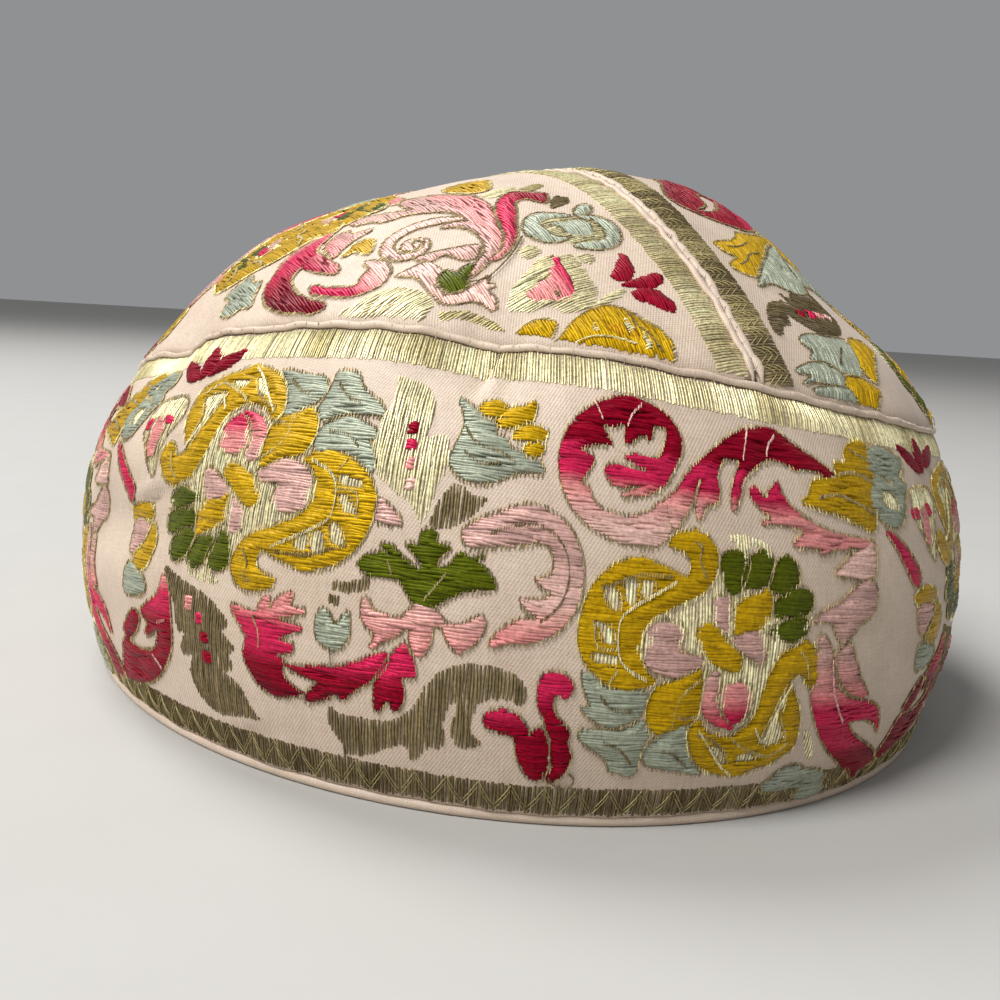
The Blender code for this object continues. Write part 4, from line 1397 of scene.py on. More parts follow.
BAND_FIGURES = read_chart("""
silk crimson bare: -70.6,63.2 -66.8,62.4 -64.3,61.1 -63.1,59 -64.8,58.6 -67.3,59.7 -69.3,61.3
silk crimson bare: -64.1,63.4 -63.5,64.9 -62,65.3 -60.6,64.5 -59.8,63.4 -60.4,61.1 -61.4,59.7 -62.9,59
-63.7,61.1
silk crimson bare: -59.8,62.6 -58.1,63.6 -55.2,64.3 -53.1,64.3 -54.3,62.6 -56.4,61.1 -58.9,60.1 -60.6,59.9
silk mist: -84,58 -82,60.5 -79,61.8 -75,61.9 -71.5,61 -71,59 -73,57.5 -71.5,55.5 -73,54 -76,55 -79,57
-82,57.4
silk mist: -83,54.5 -81.5,56 -79,56.8 -76,55.5 -73,54.5 -74,51 -76,48.6 -79.5,48.5 -82,50.5 -83.5,52.5 /
-78.6,54.4 -76.4,53.6 -76,51.4 -77.6,50.8 -79.2,52.2
gilt gilt: -78.6,54.4 -76.4,53.6 -76,51.4 -77.6,50.8 -79.2,52.2
gilt gilt edged: -70.5,54.5 -67,55.6 -62.5,55.6 -61,52.5 -62.8,49.5 -64,45.5 -64.5,42.5 -66.5,44.5 -68,47
-70.5,50
silk hot bare: -71.5,51.3 -69.5,52 -68.3,51 -69.3,49.8 -71,50.3
silk hot 2 bare: -66,52.5 -64.5,52.7 -62.7,51.7 -63.6,51 -65.5,51.3
silk rose: -68.6,51.4 -66,51.6 -64.5,50.5 -65,47.5 -65.3,45.5 -67,45.5 -68,48
silk hot: -80,47.5 -77,46.3 -73.5,43.5 -70.7,40.5 -71,38.8 -72.5,38.2 -75,41 -78,45
silk mustard: -72.5,36.5 -70.5,37.6 -67.5,37.9 -64.8,37.2 -64.3,36 -66,35.3 -69,35.4 -71.5,35
silk mustard: -64.3,34.8 -62.5,34 -61,32 -61.2,29.5 -62.5,27.6 -64.8,27.2 -67,28 -67.5,29.2 -65.5,31
silk mauve: -71,34.8 -68,35 -65.2,34.4 -65,32.5 -67,30.5 -68.5,29.3 -70.3,30.5
silk mist: -69.5,27.2 -66,27.4 -63,26.5 -61.5,24.7 -63,23.2 -66,22.8 -69.3,22.9
silk low_scroll_fade: -56.6,27.3 -55,26.6 -54.3,24.5 -53.8,21 -53.8,17.5 -54.8,14.8 -57,12 -60,9.5 -64,7.5
-69,6.3 -74,6.2 -72.5,10 -71,13.5 -68.8,14.2 -65,13.5 -60,14.5 -58.5,16 -58,18.5 -60,17.2 -62,16.8
-61,18.8 -63.3,20.5 -62,21.3 -60.5,22.5 -57.5,24.5
line rose: -55.2,20.6 -57.6,19.8
line blush: -57.4,12.2 -60,14
silk low_scroll_fade 2: -70.3,15.5 -69,17.5 -66.3,19.9 -64.3,20 -63.8,18.7 -65,16.8 -68,14.6
gilt olive 1: -56.5,29 -53,28 -49.5,27.1 -46,26.3 -43,25 -40.5,23 -41.5,21.5 -39.4,19.5 -40.3,18.2
-39.7,16.2 -41.5,15.3 -38.8,14.2 -36.6,11.5 -34.9,9.5 -38,9.2 -42,8.2 -44.5,8.3 -47,9.5 -48.8,12
-49.2,14.5 -48.2,16.5 -50.8,16 -51,18.2 -49.9,19.8 -52.2,19.6 -52.6,22.5 -54,25
dot rose: -49.3,24.3
dot hot: -46.5,22.6
dot crimson: -45.4,20
dot crimson: -44.8,17.2
gilt gilt 1: -18.9,60.5 -16.5,60.2 -14,59.6 -12,57.5 -11.5,55 -12.2,52 -9,52.5 -8.2,49 -9.2,46 -9.8,43.5
-11,40.8 -13,43 -16,44.5 -19.5,47 -20.3,50 -19.8,54 -18.5,57
dot crimson: -14.4,53.1,0.85
dot hot: -14.1,50.6,0.8
dot rose: -13.7,48.1,0.8
dot blush: -13.2,45.5,0.75
gilt olive: -9.8,41 -8.5,44.5 -6.5,46.3 -4,45 -2.2,44.8 -4,42.3 -6.5,40.8 -8.8,40.3
silk mist: -8.1,58.2 -6,57.4 -4.6,56.5 -3.8,55.6 -2.3,55.2 -1.8,53.6 -0.2,53.5 0.3,52.2 2,51.7 3.2,50.8
4.8,50.6 5.3,49.2 2.5,49 0,48 -2,47 -4.5,46.8 -7,47.7 -8,49.4 -7.3,52 -6.7,55
line olive: -6.4,54 -4.4,52 -1.4,51.4 1.6,50.2
line olive: -6,50.6 -3.6,49.4 -0.6,49.6
silk mustard: -4.9,57 -4.2,58.2 -2.3,58.8 -0.6,58.2 -0.3,57 -1.5,56.4 -3.6,56.3
silk mustard: -1.9,55.6 -1.4,57.3 0,58 2,58.4 3.8,59.2 3.7,57.4 3,55.9 1,55.2 -1.2,54.9
silk mustard: 0.9,53.6 1.6,55.4 3.5,55.6 5.6,55.3 5.4,54 4.9,53.4 3,53.2
silk mustard: 2.5,51.8 3.3,53 5.2,53.1 5,51.8 3.9,51.2
silk leaf: -19.3,34.2 -18,35.6 -16,36.2 -14.8,36 -16.4,37.1 -14.5,37 -12.8,35.8 -10.5,34.8 -10.3,35.5
-11.5,36.8 -12.7,38 -11,37.8 -10.6,39.6 -9.3,40 -8.6,39.5 -8.5,38.3 -6.4,38.1 -8,36.3 -7.8,35.2 -6.2,36
-5,37.5 -3.6,37 -1.5,37.8 -2.6,36.8 -0.8,35.4 0.1,33.8 -1.5,33.2 -4,32.8 -6.5,31.3 -8.4,30.1 -10.5,30.3
-11.8,31.5 -13,33 -15,33.4 -17.5,33.3
line brass: -6.7,34.6 -8,32.8 -9.4,30.9
line drab: -14.9,35.2 -14,33.4
silk y,28=rose,33=blush,38=mauve: -5,40.3 -3,42 0,43.4 3,44.7 6,44.6 9,43 10.6,40.5 11.4,37.5 11.2,34
10,31 7.8,28.6 5,27.3 2,26.9 0,26.2 0.6,27.8 2.2,29.3 4,30.3 5.8,30.6 4.6,31.4 3.4,32.6 5.5,32.8 7.5,34
6.5,34.5 5.4,35.6 7.2,36.2 7.6,38 6.8,39.9 5.2,40.3 4,39.8 1.5,39.4 -2,38.8 -4.2,38.6
line olive: -1,40.6 3,42.2 6.6,42 9,39.6 9.6,36 8.6,32.6 6,30
silk mauve: -17.6,42.8 -15.5,41.9 -13.7,40.5 -14.8,40 -16.5,40.1 -17.6,40.2
gilt olive: -22.8,31.6 -20.2,31.8 -17.4,33 -17.4,31.2 -20.4,30.4 -22.6,30.6
gilt olive: -23.2,29.8 -21.4,29.6 -21.4,28.6 -23.2,28.8
silk y,24=rose,31=mauve: -18,29.7 -17.3,30 -16.3,28.6 -14,28.1 -12.2,28.3 -11,29.8 -9.5,30.2 -7.5,29.8
-6,28.3 -4.2,28.3 -2.5,29.5 -1,29.8 -1.2,27.8 -2.5,26 -4,25 -5.5,26 -6.5,27.8 -7.8,27.8 -8,25.5 -9,23.8
-10.2,24 -10.8,25.6 -11.2,27.2 -12.8,25.8 -14.5,24.8 -16.3,23.8 -15.8,25.4 -17,26.3 -17.9,27.8
silk mist: -24.5,27.3 -23,27.5 -21.8,25.9 -20.3,27.6 -19.8,27.5 -19.7,24.5 -20.8,23 -22.5,22.6 -24.3,23.6
-24.8,25.3
line olive: -22.3,22.6 -22,20.6
silk leaf_fade: -39.9,25.6 -36.5,25.3 -35,25.4 -34.5,27 -33,27.8 -32.7,26.3 -31.3,28.2 -29,29 -29.2,27.2
-26.5,27.2 -28,26.2 -31,25.2 -27,24.7 -28.7,23.6 -31,22.3 -28.3,22 -29,20.7 -31,20.3 -30,19.3 -30,17.5
-28.2,16 -26.3,15 -27.7,14.8 -30,14.2 -32,14.2 -34.5,15.2 -36.3,17 -37.3,19.3 -36.8,21.5 -38,23.2
line brass: -35.6,25 -34.4,23 -34.2,20.6
silk leaf_fade: -29.7,19 -27,19.3 -24,19.8 -21,20.3 -18.5,21.3 -16,22.6 -14,23.2 -13.8,22 -14.5,20.8
-16,19.2 -17.5,18 -19,16.9 -20,15.8 -21.5,16.1 -22.3,15.6 -23.8,15 -25.8,14.1 -26.2,15.2 -25,16.6 -24,17.6
-26,17.9 -28,18.3
silk leaf_fade: -11.6,25 -10.8,24 -10,22.5 -9.8,20.7 -11.6,20.4 -11.2,18.5 -11.5,16.5 -12.5,15.6 -13.3,17
-14.3,15.8 -15.2,15 -15.5,17 -15.3,19.5 -14.2,21.5 -13,23.6
gilt olive 1: -22.6,14.1 -20.5,13.3 -17.5,13.4 -14.5,13.5 -12,14.4 -10,16.2 -8.8,18.5 -7.5,20.8 -5.5,22.5
-3,23.4 0,23.6 3,23 4.8,21.8 5.2,20.2 4.8,18.8 2.5,19.4 -0.5,18.7 -1.5,16.5 -1.8,14.2 -0.6,13 0,12.6 -1,12
-2.8,11.5 -4,12.5 -4.3,14.5 -4,16.8 -4.2,18.2 -5,17 -5.6,14.5 -5.2,12.5 -5.8,10.9 -7.3,11 -8.5,9.4 -10,8.3
-10.4,9.8 -11.5,10.5 -13.5,9.5 -15.5,8.4 -18,7.5 -20.6,7.1 -20.3,8.4 -21.7,10 -22.8,12
silk y,8=crimson,18=crimson,21=hot: 7,22.8 8.5,23.9 10.3,23.5 11.3,22 10.7,20.8 9.4,21 8.8,20 9.3,18
10.5,16.8 11.4,15.6 11.3,14 12,12 11.6,9.8 10.6,8.2 9.3,7.8 8.8,9 9.8,9.6 9.4,11.8 9.2,14 8.3,16.3
7.3,18.4 6.8,20.6
silk y,8=crimson,15=crimson,17.5=hot: 0,16.5 1,17.6 2.5,17.9 4.3,17.4 5.7,15.8 6.3,14.8 7.4,15.9 8.4,14.6
8.9,12.5 9,10.3 8.6,8.4 7.5,8 6.2,8.8 5,11 4.5,13.3 3.8,14.6 2,14.8 0.3,15.3
line olive: 9.4,8.4 10.6,7.2 12.4,7.2 12.8,8.6 11.8,9.6
silk scroll_fade: 20.6,41.6 17.5,41.6 14.5,42.2 11.8,43.4 9.6,45.4 8.1,48.2 7.6,51.6 8.2,54.6 9.8,57.4
12.4,59.8 15.6,61.5 18.5,62.2 21.6,61.6 24,60.2 25.5,58 25.5,55.4 24.4,53.2 23.2,51 21.4,49.2 19,48.2
16.4,47.7 17.8,48.8 19.2,49.6 15.8,49.1 14.5,50 14.2,51.3 16,51.9 18,51.6 20,51.6 17,53.2 18.6,53.6
21,53.4 22.4,54.2 23.2,56 23.6,58 22.6,58.6 21.6,58.4 20.8,56.2 20,57 18,55.4 17.2,55.3 17.3,58 15.6,57.2
13.8,57 15,54.7 12.4,54.2 10.6,53.2 12.4,52.6 12.2,51.4 10.8,48.9 11.9,48.2 12.2,46.8 13.6,45.7 15.6,45.2
18.2,45.3 20.4,46.2 22.2,47.5 23.6,44.6 22.4,42.8
line blush: 12.7,60.6 13.2,59.6 14,57.8
line blush: 19.9,61 18.4,59.4 17.5,57.4
silk scroll_fade: 22.2,47.5 24.3,49.6 26,52.1 28.1,54.2 30.6,56.4 33.1,58.5 35.6,60.1 38.1,61 41,61.4
43.1,61 44.6,59.9 48.1,58 49.9,56.9 51.7,55.8 49.9,55.3 47.1,56.2 44.6,55.8 42.8,56.2 40.3,56.5 38.1,55.6
36.4,54.2 34.9,52.8 34.2,51 33.3,48.9 32.6,48.1 32.6,50.3 33.5,52.8 34.6,55.3 33.1,55.3 31.7,54.9
30.6,52.8 30.6,50.3 29.9,48.5 28.5,48.1 27.4,46 26.9,47.1 27.3,49.2 28.1,51.7 27.2,50.6 26.4,48.4
25.2,46.2 23.6,44.6
line blush: 36.8,60.6 35.8,57.8 35,55.4
line blush: 41.4,60.2 40,58.6 39.2,56.6
silk y,44.5=rose,47.5=rose,50=hot: 35.6,50.6 36.5,51.8 38.3,50.3 39,51.6 40.6,53 41,51.6 42,50 44,48.6
47,47.2 50,46.3 54,46 58,45.6 58,44.8 54,44.5 50.5,44.2 47,43 46.6,44 42,43.9 43.8,45.9 43,46.6 39.5,47
37.2,46.7 38.6,47.8 37.3,48.6
silk blush: 49.5,40.2 51,41.8 53,43.4 56,45 58.2,45.4 58.2,42 57.5,40.2 54,39.9
silk mustard: 44.6,50.7 46,52 47.2,54.2 50.3,54.9 52,55.2 52.4,57.7 54.8,58.1 55.3,60 57.3,61.8 60.5,62.5
62.8,61 62.5,57 61,54 59.5,50 58.6,47.5 55,48.3 51,49.5 47,50
line drab: 47.6,51.6 51.4,52.4 55.6,51.4 59,50
line drab: 52.4,55.8 56,56.4 60.6,55.2
line drab: 56.4,60.4 59,59.4 61.4,58.6
silk mauve: 45.3,32.8 47,34.6 50,35.8 53,38 56,39.6 58,38.5 57.8,35.5 56.5,33.6 54.5,32.8 53,31 51.5,29.8
50,30.8 48.8,33 47,33.4
silk long_leaf_fade: 46,25.3 46.4,22.3 47.5,19 49.8,14.8 52.7,11.5 56,8.6 59.3,5.7 62.7,3.2 64.8,4.8
67.7,5.7 65.2,8.6 62.7,10.3 59.3,12.3 56.8,14.4 56,16.1 59.3,16.1 62.7,14.4 64.3,12.8 62.7,16.9 59.8,19
56.8,19.8 54.3,20.7 51.8,22.3 50.2,25.3 49.3,28.6 46.8,31.1
line blush: 49.4,27 50.4,22.4 52.4,18.6 54,16.4
silk long_leaf_fade: 50.2,28.2 52.7,29.4 53.9,27.3 55.6,24 58.1,20.7 54,21.6 51.5,24
silk mist: 41.5,6 43,7.6 45,9.2 47.5,9.4 49,8.3 51.5,7.8 54,6.6 55.5,4 56,2.4 52,1.9 49.5,1.9 48.8,2.5
48,4.8 45,5.2 42.5,5
gilt gilt: 46.8,15 47.8,15.4 50,10.8 49,10.2
""")

CROWN_LEFT = read_chart("""
silk y,-37=deep,-30=crimson,-26.5=hot,-23.5=hot,-21=rose: -65.2,-46.2 -67.5,-44.5 -69.1,-41.9 -70.9,-38.3
-71.8,-34.2 -71.4,-30.1 -69.8,-26.5 -66.8,-23.7 -64.1,-21.2 -60.5,-20.3 -55.9,-20.8 -54,-22 -56,-23.6
-58.2,-25.1 -59.3,-27.4 -59,-30 -59.1,-34.2 -58.9,-36.9 -59.8,-38.9 -61.2,-36.5 -62.3,-33 -62.5,-29.6
-64.3,-29.4 -66.2,-31.5 -66.9,-35 -66.8,-38.5 -66.2,-41.5 -65,-44.2
silk x,-62=hot,-59=rose 2 bare: -62.6,-28.6 -62.4,-33 -61.2,-36.4 -59.8,-38.6 -58.9,-36.9 -59.1,-34.2
-59,-30 -59.4,-26.6
silk x,-64=hot,-60.5=hot,-57=rose,-54=blush: -64.5,-37.8 -65,-40.5 -64.1,-42.8 -62.7,-45.5 -60.9,-47.8
-58.6,-49.2 -55.5,-49.4 -53.2,-47.4 -52.7,-44.2 -54.1,-41.5 -55.3,-40.8 -55.3,-43.3 -57.3,-44.6 -58.8,-46
-60.2,-45.2 -61.4,-43.3 -63,-41
silk mustard: -57,-34.6 -55.2,-33.5 -54.1,-32.6 -52,-32.6 -51.1,-34.6 -51.8,-36.5 -53.4,-38.5 -54.3,-36.9
-54.8,-35.1
silk x,-58=rose,-52=mauve,-46=blush: -58.2,-32.8 -58,-29 -57.3,-26.5 -54.5,-24.6 -52.2,-25 -52.6,-27.2
-50.6,-28.8 -49.4,-30.2 -53,-30.6 -56,-31.6
silk x,-50=blush,-43=mauve,-37.5=mauve,-33.5=rose: -50,-21.4 -47.4,-22.6 -45.2,-25 -42.6,-28.4 -41,-29.4
-41.2,-26 -40.6,-22.4 -39,-20.8 -36.5,-22.5 -34.5,-25 -32.6,-29 -31,-33 -30.9,-37 -31.3,-42 -32.8,-46
-34.6,-52 -37.2,-55.4 -40.5,-57.4 -43.5,-58.6 -41.8,-56.5 -38.8,-54 -37.4,-50 -37.6,-46 -38.8,-43.4
-41,-41.6 -38.2,-41.4 -36.4,-42.4 -36.5,-39.5 -37.5,-36.5 -40,-33.5 -43,-31 -46.5,-29.5 -48.4,-26
-50,-24.4
silk x,-45=rose,-36=rose,-32.5=hot,-28=hot,-25=crimson 2: -20.6,-40.6 -23,-38 -25,-36.5 -27.7,-37.8
-30,-40.5 -31.4,-43.3 -32.3,-46 -33.2,-49.6 -34.5,-52.6 -36.4,-55.1 -39,-56.6 -37.3,-56.9 -34.5,-55.1
-32.3,-52.4 -30.9,-49.6 -30,-47.4 -28.6,-45.1 -27.3,-41.9 -25.9,-40.8 -24.1,-41.2 -23.4,-42.8 -22.3,-44
silk blush: -36.4,-41.4 -40,-37.6 -46,-36.2 -50.5,-38 -52.2,-42 -50.9,-45.8 -47.5,-47.4 -45,-45.4
-45.2,-42.6 -47.5,-41.2 -49,-43 -48,-45 -46.6,-44.4 -47.4,-42.8 -46,-42 -45.2,-44.4 -47,-46 -49.6,-44.8
-50.2,-41.6 -48.4,-39 -44.8,-38.4 -41,-39.6
silk mauve: -48.6,-47.8 -46.4,-48.3 -41.8,-50.1 -39.5,-51 -39.1,-52.4 -40.9,-54.6 -42.7,-53.7 -44.5,-50.5
-47.3,-50.5
silk leaf 2: -48.2,-56.5 -47.5,-55.1 -45.9,-54.9 -45.2,-56.5 -43.6,-55.8 -41.8,-56 -42.7,-57.4 -44.1,-58.5
-45.2,-60.1 -47.3,-60.1 -48.4,-58.3
silk blush: -53,-49.7 -50,-50 -47.6,-50.2 -47.4,-52.4 -46.8,-54.2 -48,-55.4 -49.2,-57.4 -48.8,-59.8
-46.4,-61 -43.6,-60.6 -41,-60 -42.2,-61.4 -41,-62.4 -42.6,-62.6 -42.4,-65 -43.4,-66.8 -44.4,-64.6
-45.8,-63.2 -48,-62.4 -49.8,-61 -50.3,-58 -50.4,-54.6 -51,-52
silk mustard bare: -52.2,-65.2 -50.4,-65.4 -49,-67.2 -47.4,-69 -46.4,-71.4 -48.4,-70.8 -49.8,-69 -51,-67
gilt brass: -51,-62.4 -48,-64 -45.6,-66.4 -43.8,-70 -43,-74 -44.2,-74.2 -45,-70.6 -46.8,-67.4 -49,-65.2
-51.4,-64
gilt gilt: -29.6,-33.6 -26,-33 -23,-33.4 -24,-36 -28.6,-36.4
gilt brass: -22.6,-35 -18.4,-34.4 -18.8,-36.4 -22,-37.6
line olive: -44.6,-59.8 -41.4,-60.4 -38,-59 -34.6,-56.6 -31.6,-53.4
gilt gilt: -28,-50 -24,-49.8 -19.4,-51.6 -17.6,-54 -17.8,-58.4 -19.6,-59.8 -24.8,-59.6 -26.6,-56.4
-28.2,-53.6
silk mist: -26,-47.3 -23.5,-48.5 -21,-50.6 -23.5,-50.3 -25.5,-50 -27,-51 -27.7,-53 -27.2,-55.2 -26,-56.6
-24.9,-57.2 -27,-57.6 -29.2,-56.6 -30.3,-54.5 -30.4,-51.8 -29.4,-49.4 -27.8,-47.8
silk mist 2: -25.6,-52.2 -24.4,-51.6 -22,-51.9 -20,-52.3 -19.7,-54.5 -20,-57 -21.6,-58 -23.6,-57.2
-24.6,-56 -24.4,-53.8
silk mist: -20,-50.6 -18.4,-51 -16.4,-52.8 -15.6,-55.6 -16.2,-58.8 -17.8,-61 -20.4,-62 -23.2,-61.4
-25,-60.2 -24.6,-59.2 -22,-59.3 -19.8,-59.4 -18.4,-58 -17.8,-55.6 -18.2,-53.4 -19.4,-52
silk mist: -19.9,-50.4 -19.2,-48.6 -17.6,-47.4 -16.4,-47.6 -16.4,-49.2 -17.6,-50.6 -18.8,-51
silk crimson bare: -23.3,-69 -22,-67.3 -20,-65.3 -18.8,-63.7 -18.5,-65.3 -19,-68 -20,-70 -22,-70.5
silk crimson bare: -22.7,-71.3 -20.7,-70.7 -17.7,-70.3 -16,-70.2 -15.3,-71.3 -16.3,-72.7 -18.3,-73
-21,-72.3
silk crimson bare: -21.7,-73.2 -19.3,-72.8 -17.7,-73.7 -17,-75.3 -16.5,-77 -17,-78.8 -18.7,-77.7 -20.3,-76
-21.7,-74.7
gilt gilt 1: -41.3,-67.7 -40.3,-66 -39.3,-64.7 -37.3,-63.3 -35.3,-62.3 -33.3,-61 -31.7,-60.3 -30,-60.7
-28.7,-61.3 -27.3,-61.3 -26.7,-63.3 -26.8,-66 -27,-68.7 -27.2,-71 -28.7,-73.7 -30.3,-74.3 -32.7,-74
-34.3,-73 -35.3,-71 -37.7,-70.7 -40,-69
silk x,-37=rose,-33=rose,-30.5=hot 3: -37.7,-67.3 -36.7,-66.3 -34.7,-65.7 -32.7,-65.3 -32,-63.7
-30.8,-62.3 -29.7,-61 -29.7,-64 -30.2,-66 -30.2,-68.7 -30.8,-70.7 -32.7,-71.2 -34.7,-70.3 -36.7,-69.3
gilt olive 4: -35,-68.4 -33.4,-67.6 -32,-68.6 -32.6,-69.8 -34.4,-69.8
gilt gilt: -26.3,-62.6 -25,-62.2 -23.6,-63 -24.2,-64.6 -25.6,-64.8 -26.2,-63.8
gilt gilt: -34.2,-56.6 -31.4,-56.2 -31,-58.8 -33.8,-59.4
silk mustard: -43.2,-75 -42.3,-73 -40.7,-72.2 -38.7,-72.3 -37,-73.3 -36.3,-74.7 -37,-75.7 -38,-76.7
-38.5,-77.7 -39.5,-77.3 -41,-76.7
silk mustard: -38.3,-78 -36.3,-77.3 -34.3,-76 -32,-75.2 -29.3,-74.8 -26.7,-75.2 -25,-76.7 -23.7,-78.3
-22.3,-80.3 -21.2,-82 -20.8,-84.3 -21.2,-86.7 -22.3,-88 -23.7,-88.5 -26,-87.5 -28.7,-86.5 -31,-84.5
-32.7,-83 -35,-81.5 -37,-80
silk amber 2 bare: -28.9,-78 -27.6,-77.8 -27.2,-81 -28.6,-81.4
silk amber 2 bare: -26,-79.6 -25.2,-79.4 -25.2,-84 -26,-84
gilt gilt 3: -33.4,-78.4 -30.8,-77.6 -29.4,-78.4 -31,-79.2
gilt gilt 3: -27,-78.6 -25.2,-77.9 -24.9,-80.6 -26.6,-80.9
gilt gilt 3: -25.4,-82 -23.6,-81.6 -23.5,-84.2 -25.2,-84.7
line gilt: -35.6,-79.4 -32.4,-79.8 -29,-81.4 -26.2,-83.6
line drab: -24.9,-77.6 -24.8,-80 -23.6,-82.6 -23,-86
gilt gilt: -29.3,-74.3 -27.3,-73 -24,-72.2 -22.8,-72.4 -24,-73.6 -27,-74.2
gilt gilt 1: -64.1,-50.1 -60,-50.5 -57.3,-50.5 -54.5,-51.9 -52.7,-54.2 -51.4,-56.9 -50.9,-59.6 -52.7,-61.5
-58,-62 -60.9,-59.6 -62.7,-56 -65,-52.4
silk mustard: -74.8,-7 -74,-2 -72,3 -68,6 -63,7 -58,6 -54,4 -50.5,-2 -50.3,-8 -50.2,-14 -51,-19 -53.5,-22
-56,-21 -56.5,-19.5 -61,-19 -65,-17.5 -68,-14.8 -72,-12 / -65,-7 -64,-2 -61,0.5 -58.4,-1 -58,-6 -60,-8.6
-63,-8.8
silk mauve: -62,-7 -61.4,-2 -59.4,-0.6 -58.6,-3 -58.6,-6.6 -60.4,-8
silk hot bare: -64.4,-7.6 -64,-2 -62.6,0 -62,-3 -62.4,-7.8
line drab: -72.6,-8 -70,-6.4 -68.6,-2.4
line drab: -66.8,-15.6 -66,-12.4 -66.8,-9
line drab: -59.6,-18.4 -58,-15.6 -57.6,-12 -55,-10
silk leaf: -49.8,-16 -49.6,-11 -47,-8 -46,-12 -46.4,-16.4 -48,-18.4
silk leaf: -46,-19.4 -45.6,-13 -44.6,-8 -42.6,-6.4 -41.6,-10 -41.4,-15 -42,-19.4 -44,-21.6
silk mist: -78,-21.5 -77.5,-19.5 -75,-18 -75,-14.5 -72,-15 -69.5,-16.5 -70.5,-19.5 -69.5,-22 -72,-25.5
-74,-28.5 -75,-26 -77.5,-24.5
silk rose: -41.3,-21.6 -41,-17 -39,-13.5 -38,-16 -38.8,-20
silk mustard: -32,-25 -31,-21 -28,-20 -25,-21 -23.5,-24 -25,-28 -27,-31.5 -30,-31 -31.5,-28
gilt olive: -22.6,-46.4 -20,-42.4 -17.8,-43 -18.6,-45.4
""")

CROWN_RIGHT = read_chart("""
silk x,2=deep,9=crimson,17=crimson,22=hot: 1.3,-46.6 2.4,-48.8 4.7,-50.4 7.4,-51.8 10.2,-52.4 13.6,-52.1
16.9,-51 20.2,-48.2 23.6,-45.4 26.6,-40.4 25.4,-35.4 21.8,-31.2 16.8,-28.6 11.8,-28.4 8.6,-31.2 6.3,-36.6
4.1,-39.9 1.9,-43.8 / 18.8,-35.4 16,-36.2 13,-39.3 11.2,-42.4 10.8,-45 8.4,-47.6 5.8,-49.4 9.6,-48.2
12.8,-45.6 14.8,-42.6 18.4,-37.8
silk mustard: 2.2,-61 4.1,-59.9 6.9,-59 9.7,-57.1 11.3,-54.9 15.8,-53.2 19.1,-51 23.6,-47.7 26.9,-44.9
28.3,-45.4 24.1,-49.9 19.1,-54.9 14.7,-59.9 11.9,-63.2 8.6,-66.6 6.3,-69.3 3.8,-69.1 1.6,-67.7 3,-66
5.2,-64.3 3,-62.9
silk hot: 11.6,-26 12.4,-22.4 15.4,-19.6 19.6,-19.4 22.8,-22.4 24,-26.2 23.2,-28.8 21.4,-26.4 18.4,-24.8
15,-24.6
silk rose: 9,-18.2 8,-13.6 10.8,-9 15,-7.4 13.6,-11.4 14.4,-15.6 17.4,-17.6
silk mustard: 28.3,-44.8 29,-40.8 32.4,-38.6 35.2,-40.4 38.6,-39.2 41.2,-42.6 39.6,-47.6 35,-50.4 30,-49.6
silk mist: 27.4,-52 31.4,-50.8 36.6,-51.4 41.6,-49.6 43.6,-53.4 41.4,-58 36,-60.4 30,-60.2 25.2,-62.4
26,-57
line drab: 4.4,-61.6 8,-60.6 11.6,-58
line drab: 4.2,-66.8 7,-65 9,-62.6 12.8,-60.8
silk mist: 5.2,-72.1 7.4,-69.3 10.2,-66 13,-62.7 16.9,-58.8 20.2,-54.9 25.8,-49.3 29.1,-46 29.7,-47.1
26.9,-51.6 24.1,-57.1 23.6,-61.6 23.6,-64.9 21.3,-67.7 19.1,-69.1 15.8,-70.4 12.4,-70.4 9.1,-70.2
gilt olive 1: 0.5,-83.8 1.3,-80.4 3,-77.7 5.2,-76 8,-75.4 10.2,-75.6 9.4,-72.9 11.9,-73.6 13.4,-71.4
18,-70.6 20.2,-69 22.6,-69.4 23,-65.2 25.2,-69.9 25.8,-72.7 24.7,-75.4 23,-77.9 20,-80 14.7,-82.1
11.3,-81.6 8.6,-80.2 7,-79 6,-81.5 4,-82 2.5,-84
dot crimson: 11,-77.9,1
dot hot: 14.7,-76.8,1
dot rose: 18,-75.9,0.9
dot blush: 21.4,-74.8,0.9
silk mist: 5.8,-84.9 9.1,-83.2 13,-82.7 17,-81.8 20.8,-81 21.3,-83.2 20.8,-86 19.9,-88.8 15.8,-90.4
11.3,-89.9 6.3,-88.8 7.4,-87.1
silk mist: 0.8,-91.6 4.7,-89.9 8.6,-89.3 11.9,-90.4 12.4,-92.7 10.2,-93.5 4.7,-93.2 1.3,-93.8 4.1,-92.1
silk mist: 3,-94.9 6.3,-94.1 13,-93.8 13.6,-96.6 11.9,-98.2 9.1,-97.4 5.2,-96
line olive: 16.4,-84.6 14.6,-86.8 13,-89
silk mustard: 20.2,-87.1 21.3,-84.3 21.9,-81.6 24.1,-79.3 26.9,-78.2 30.2,-77.7 31.9,-79.3 29.7,-81.6
26.9,-84.9 24.7,-87.7 23,-89.9 21.3,-89.3
silk mustard: 12.4,-92.7 13.6,-91 16.9,-90.4 20.2,-90.7 22.4,-91.8 20.8,-94.3 19.1,-96.6 17.7,-98.5
15.2,-98.2 14.1,-95.4
""")


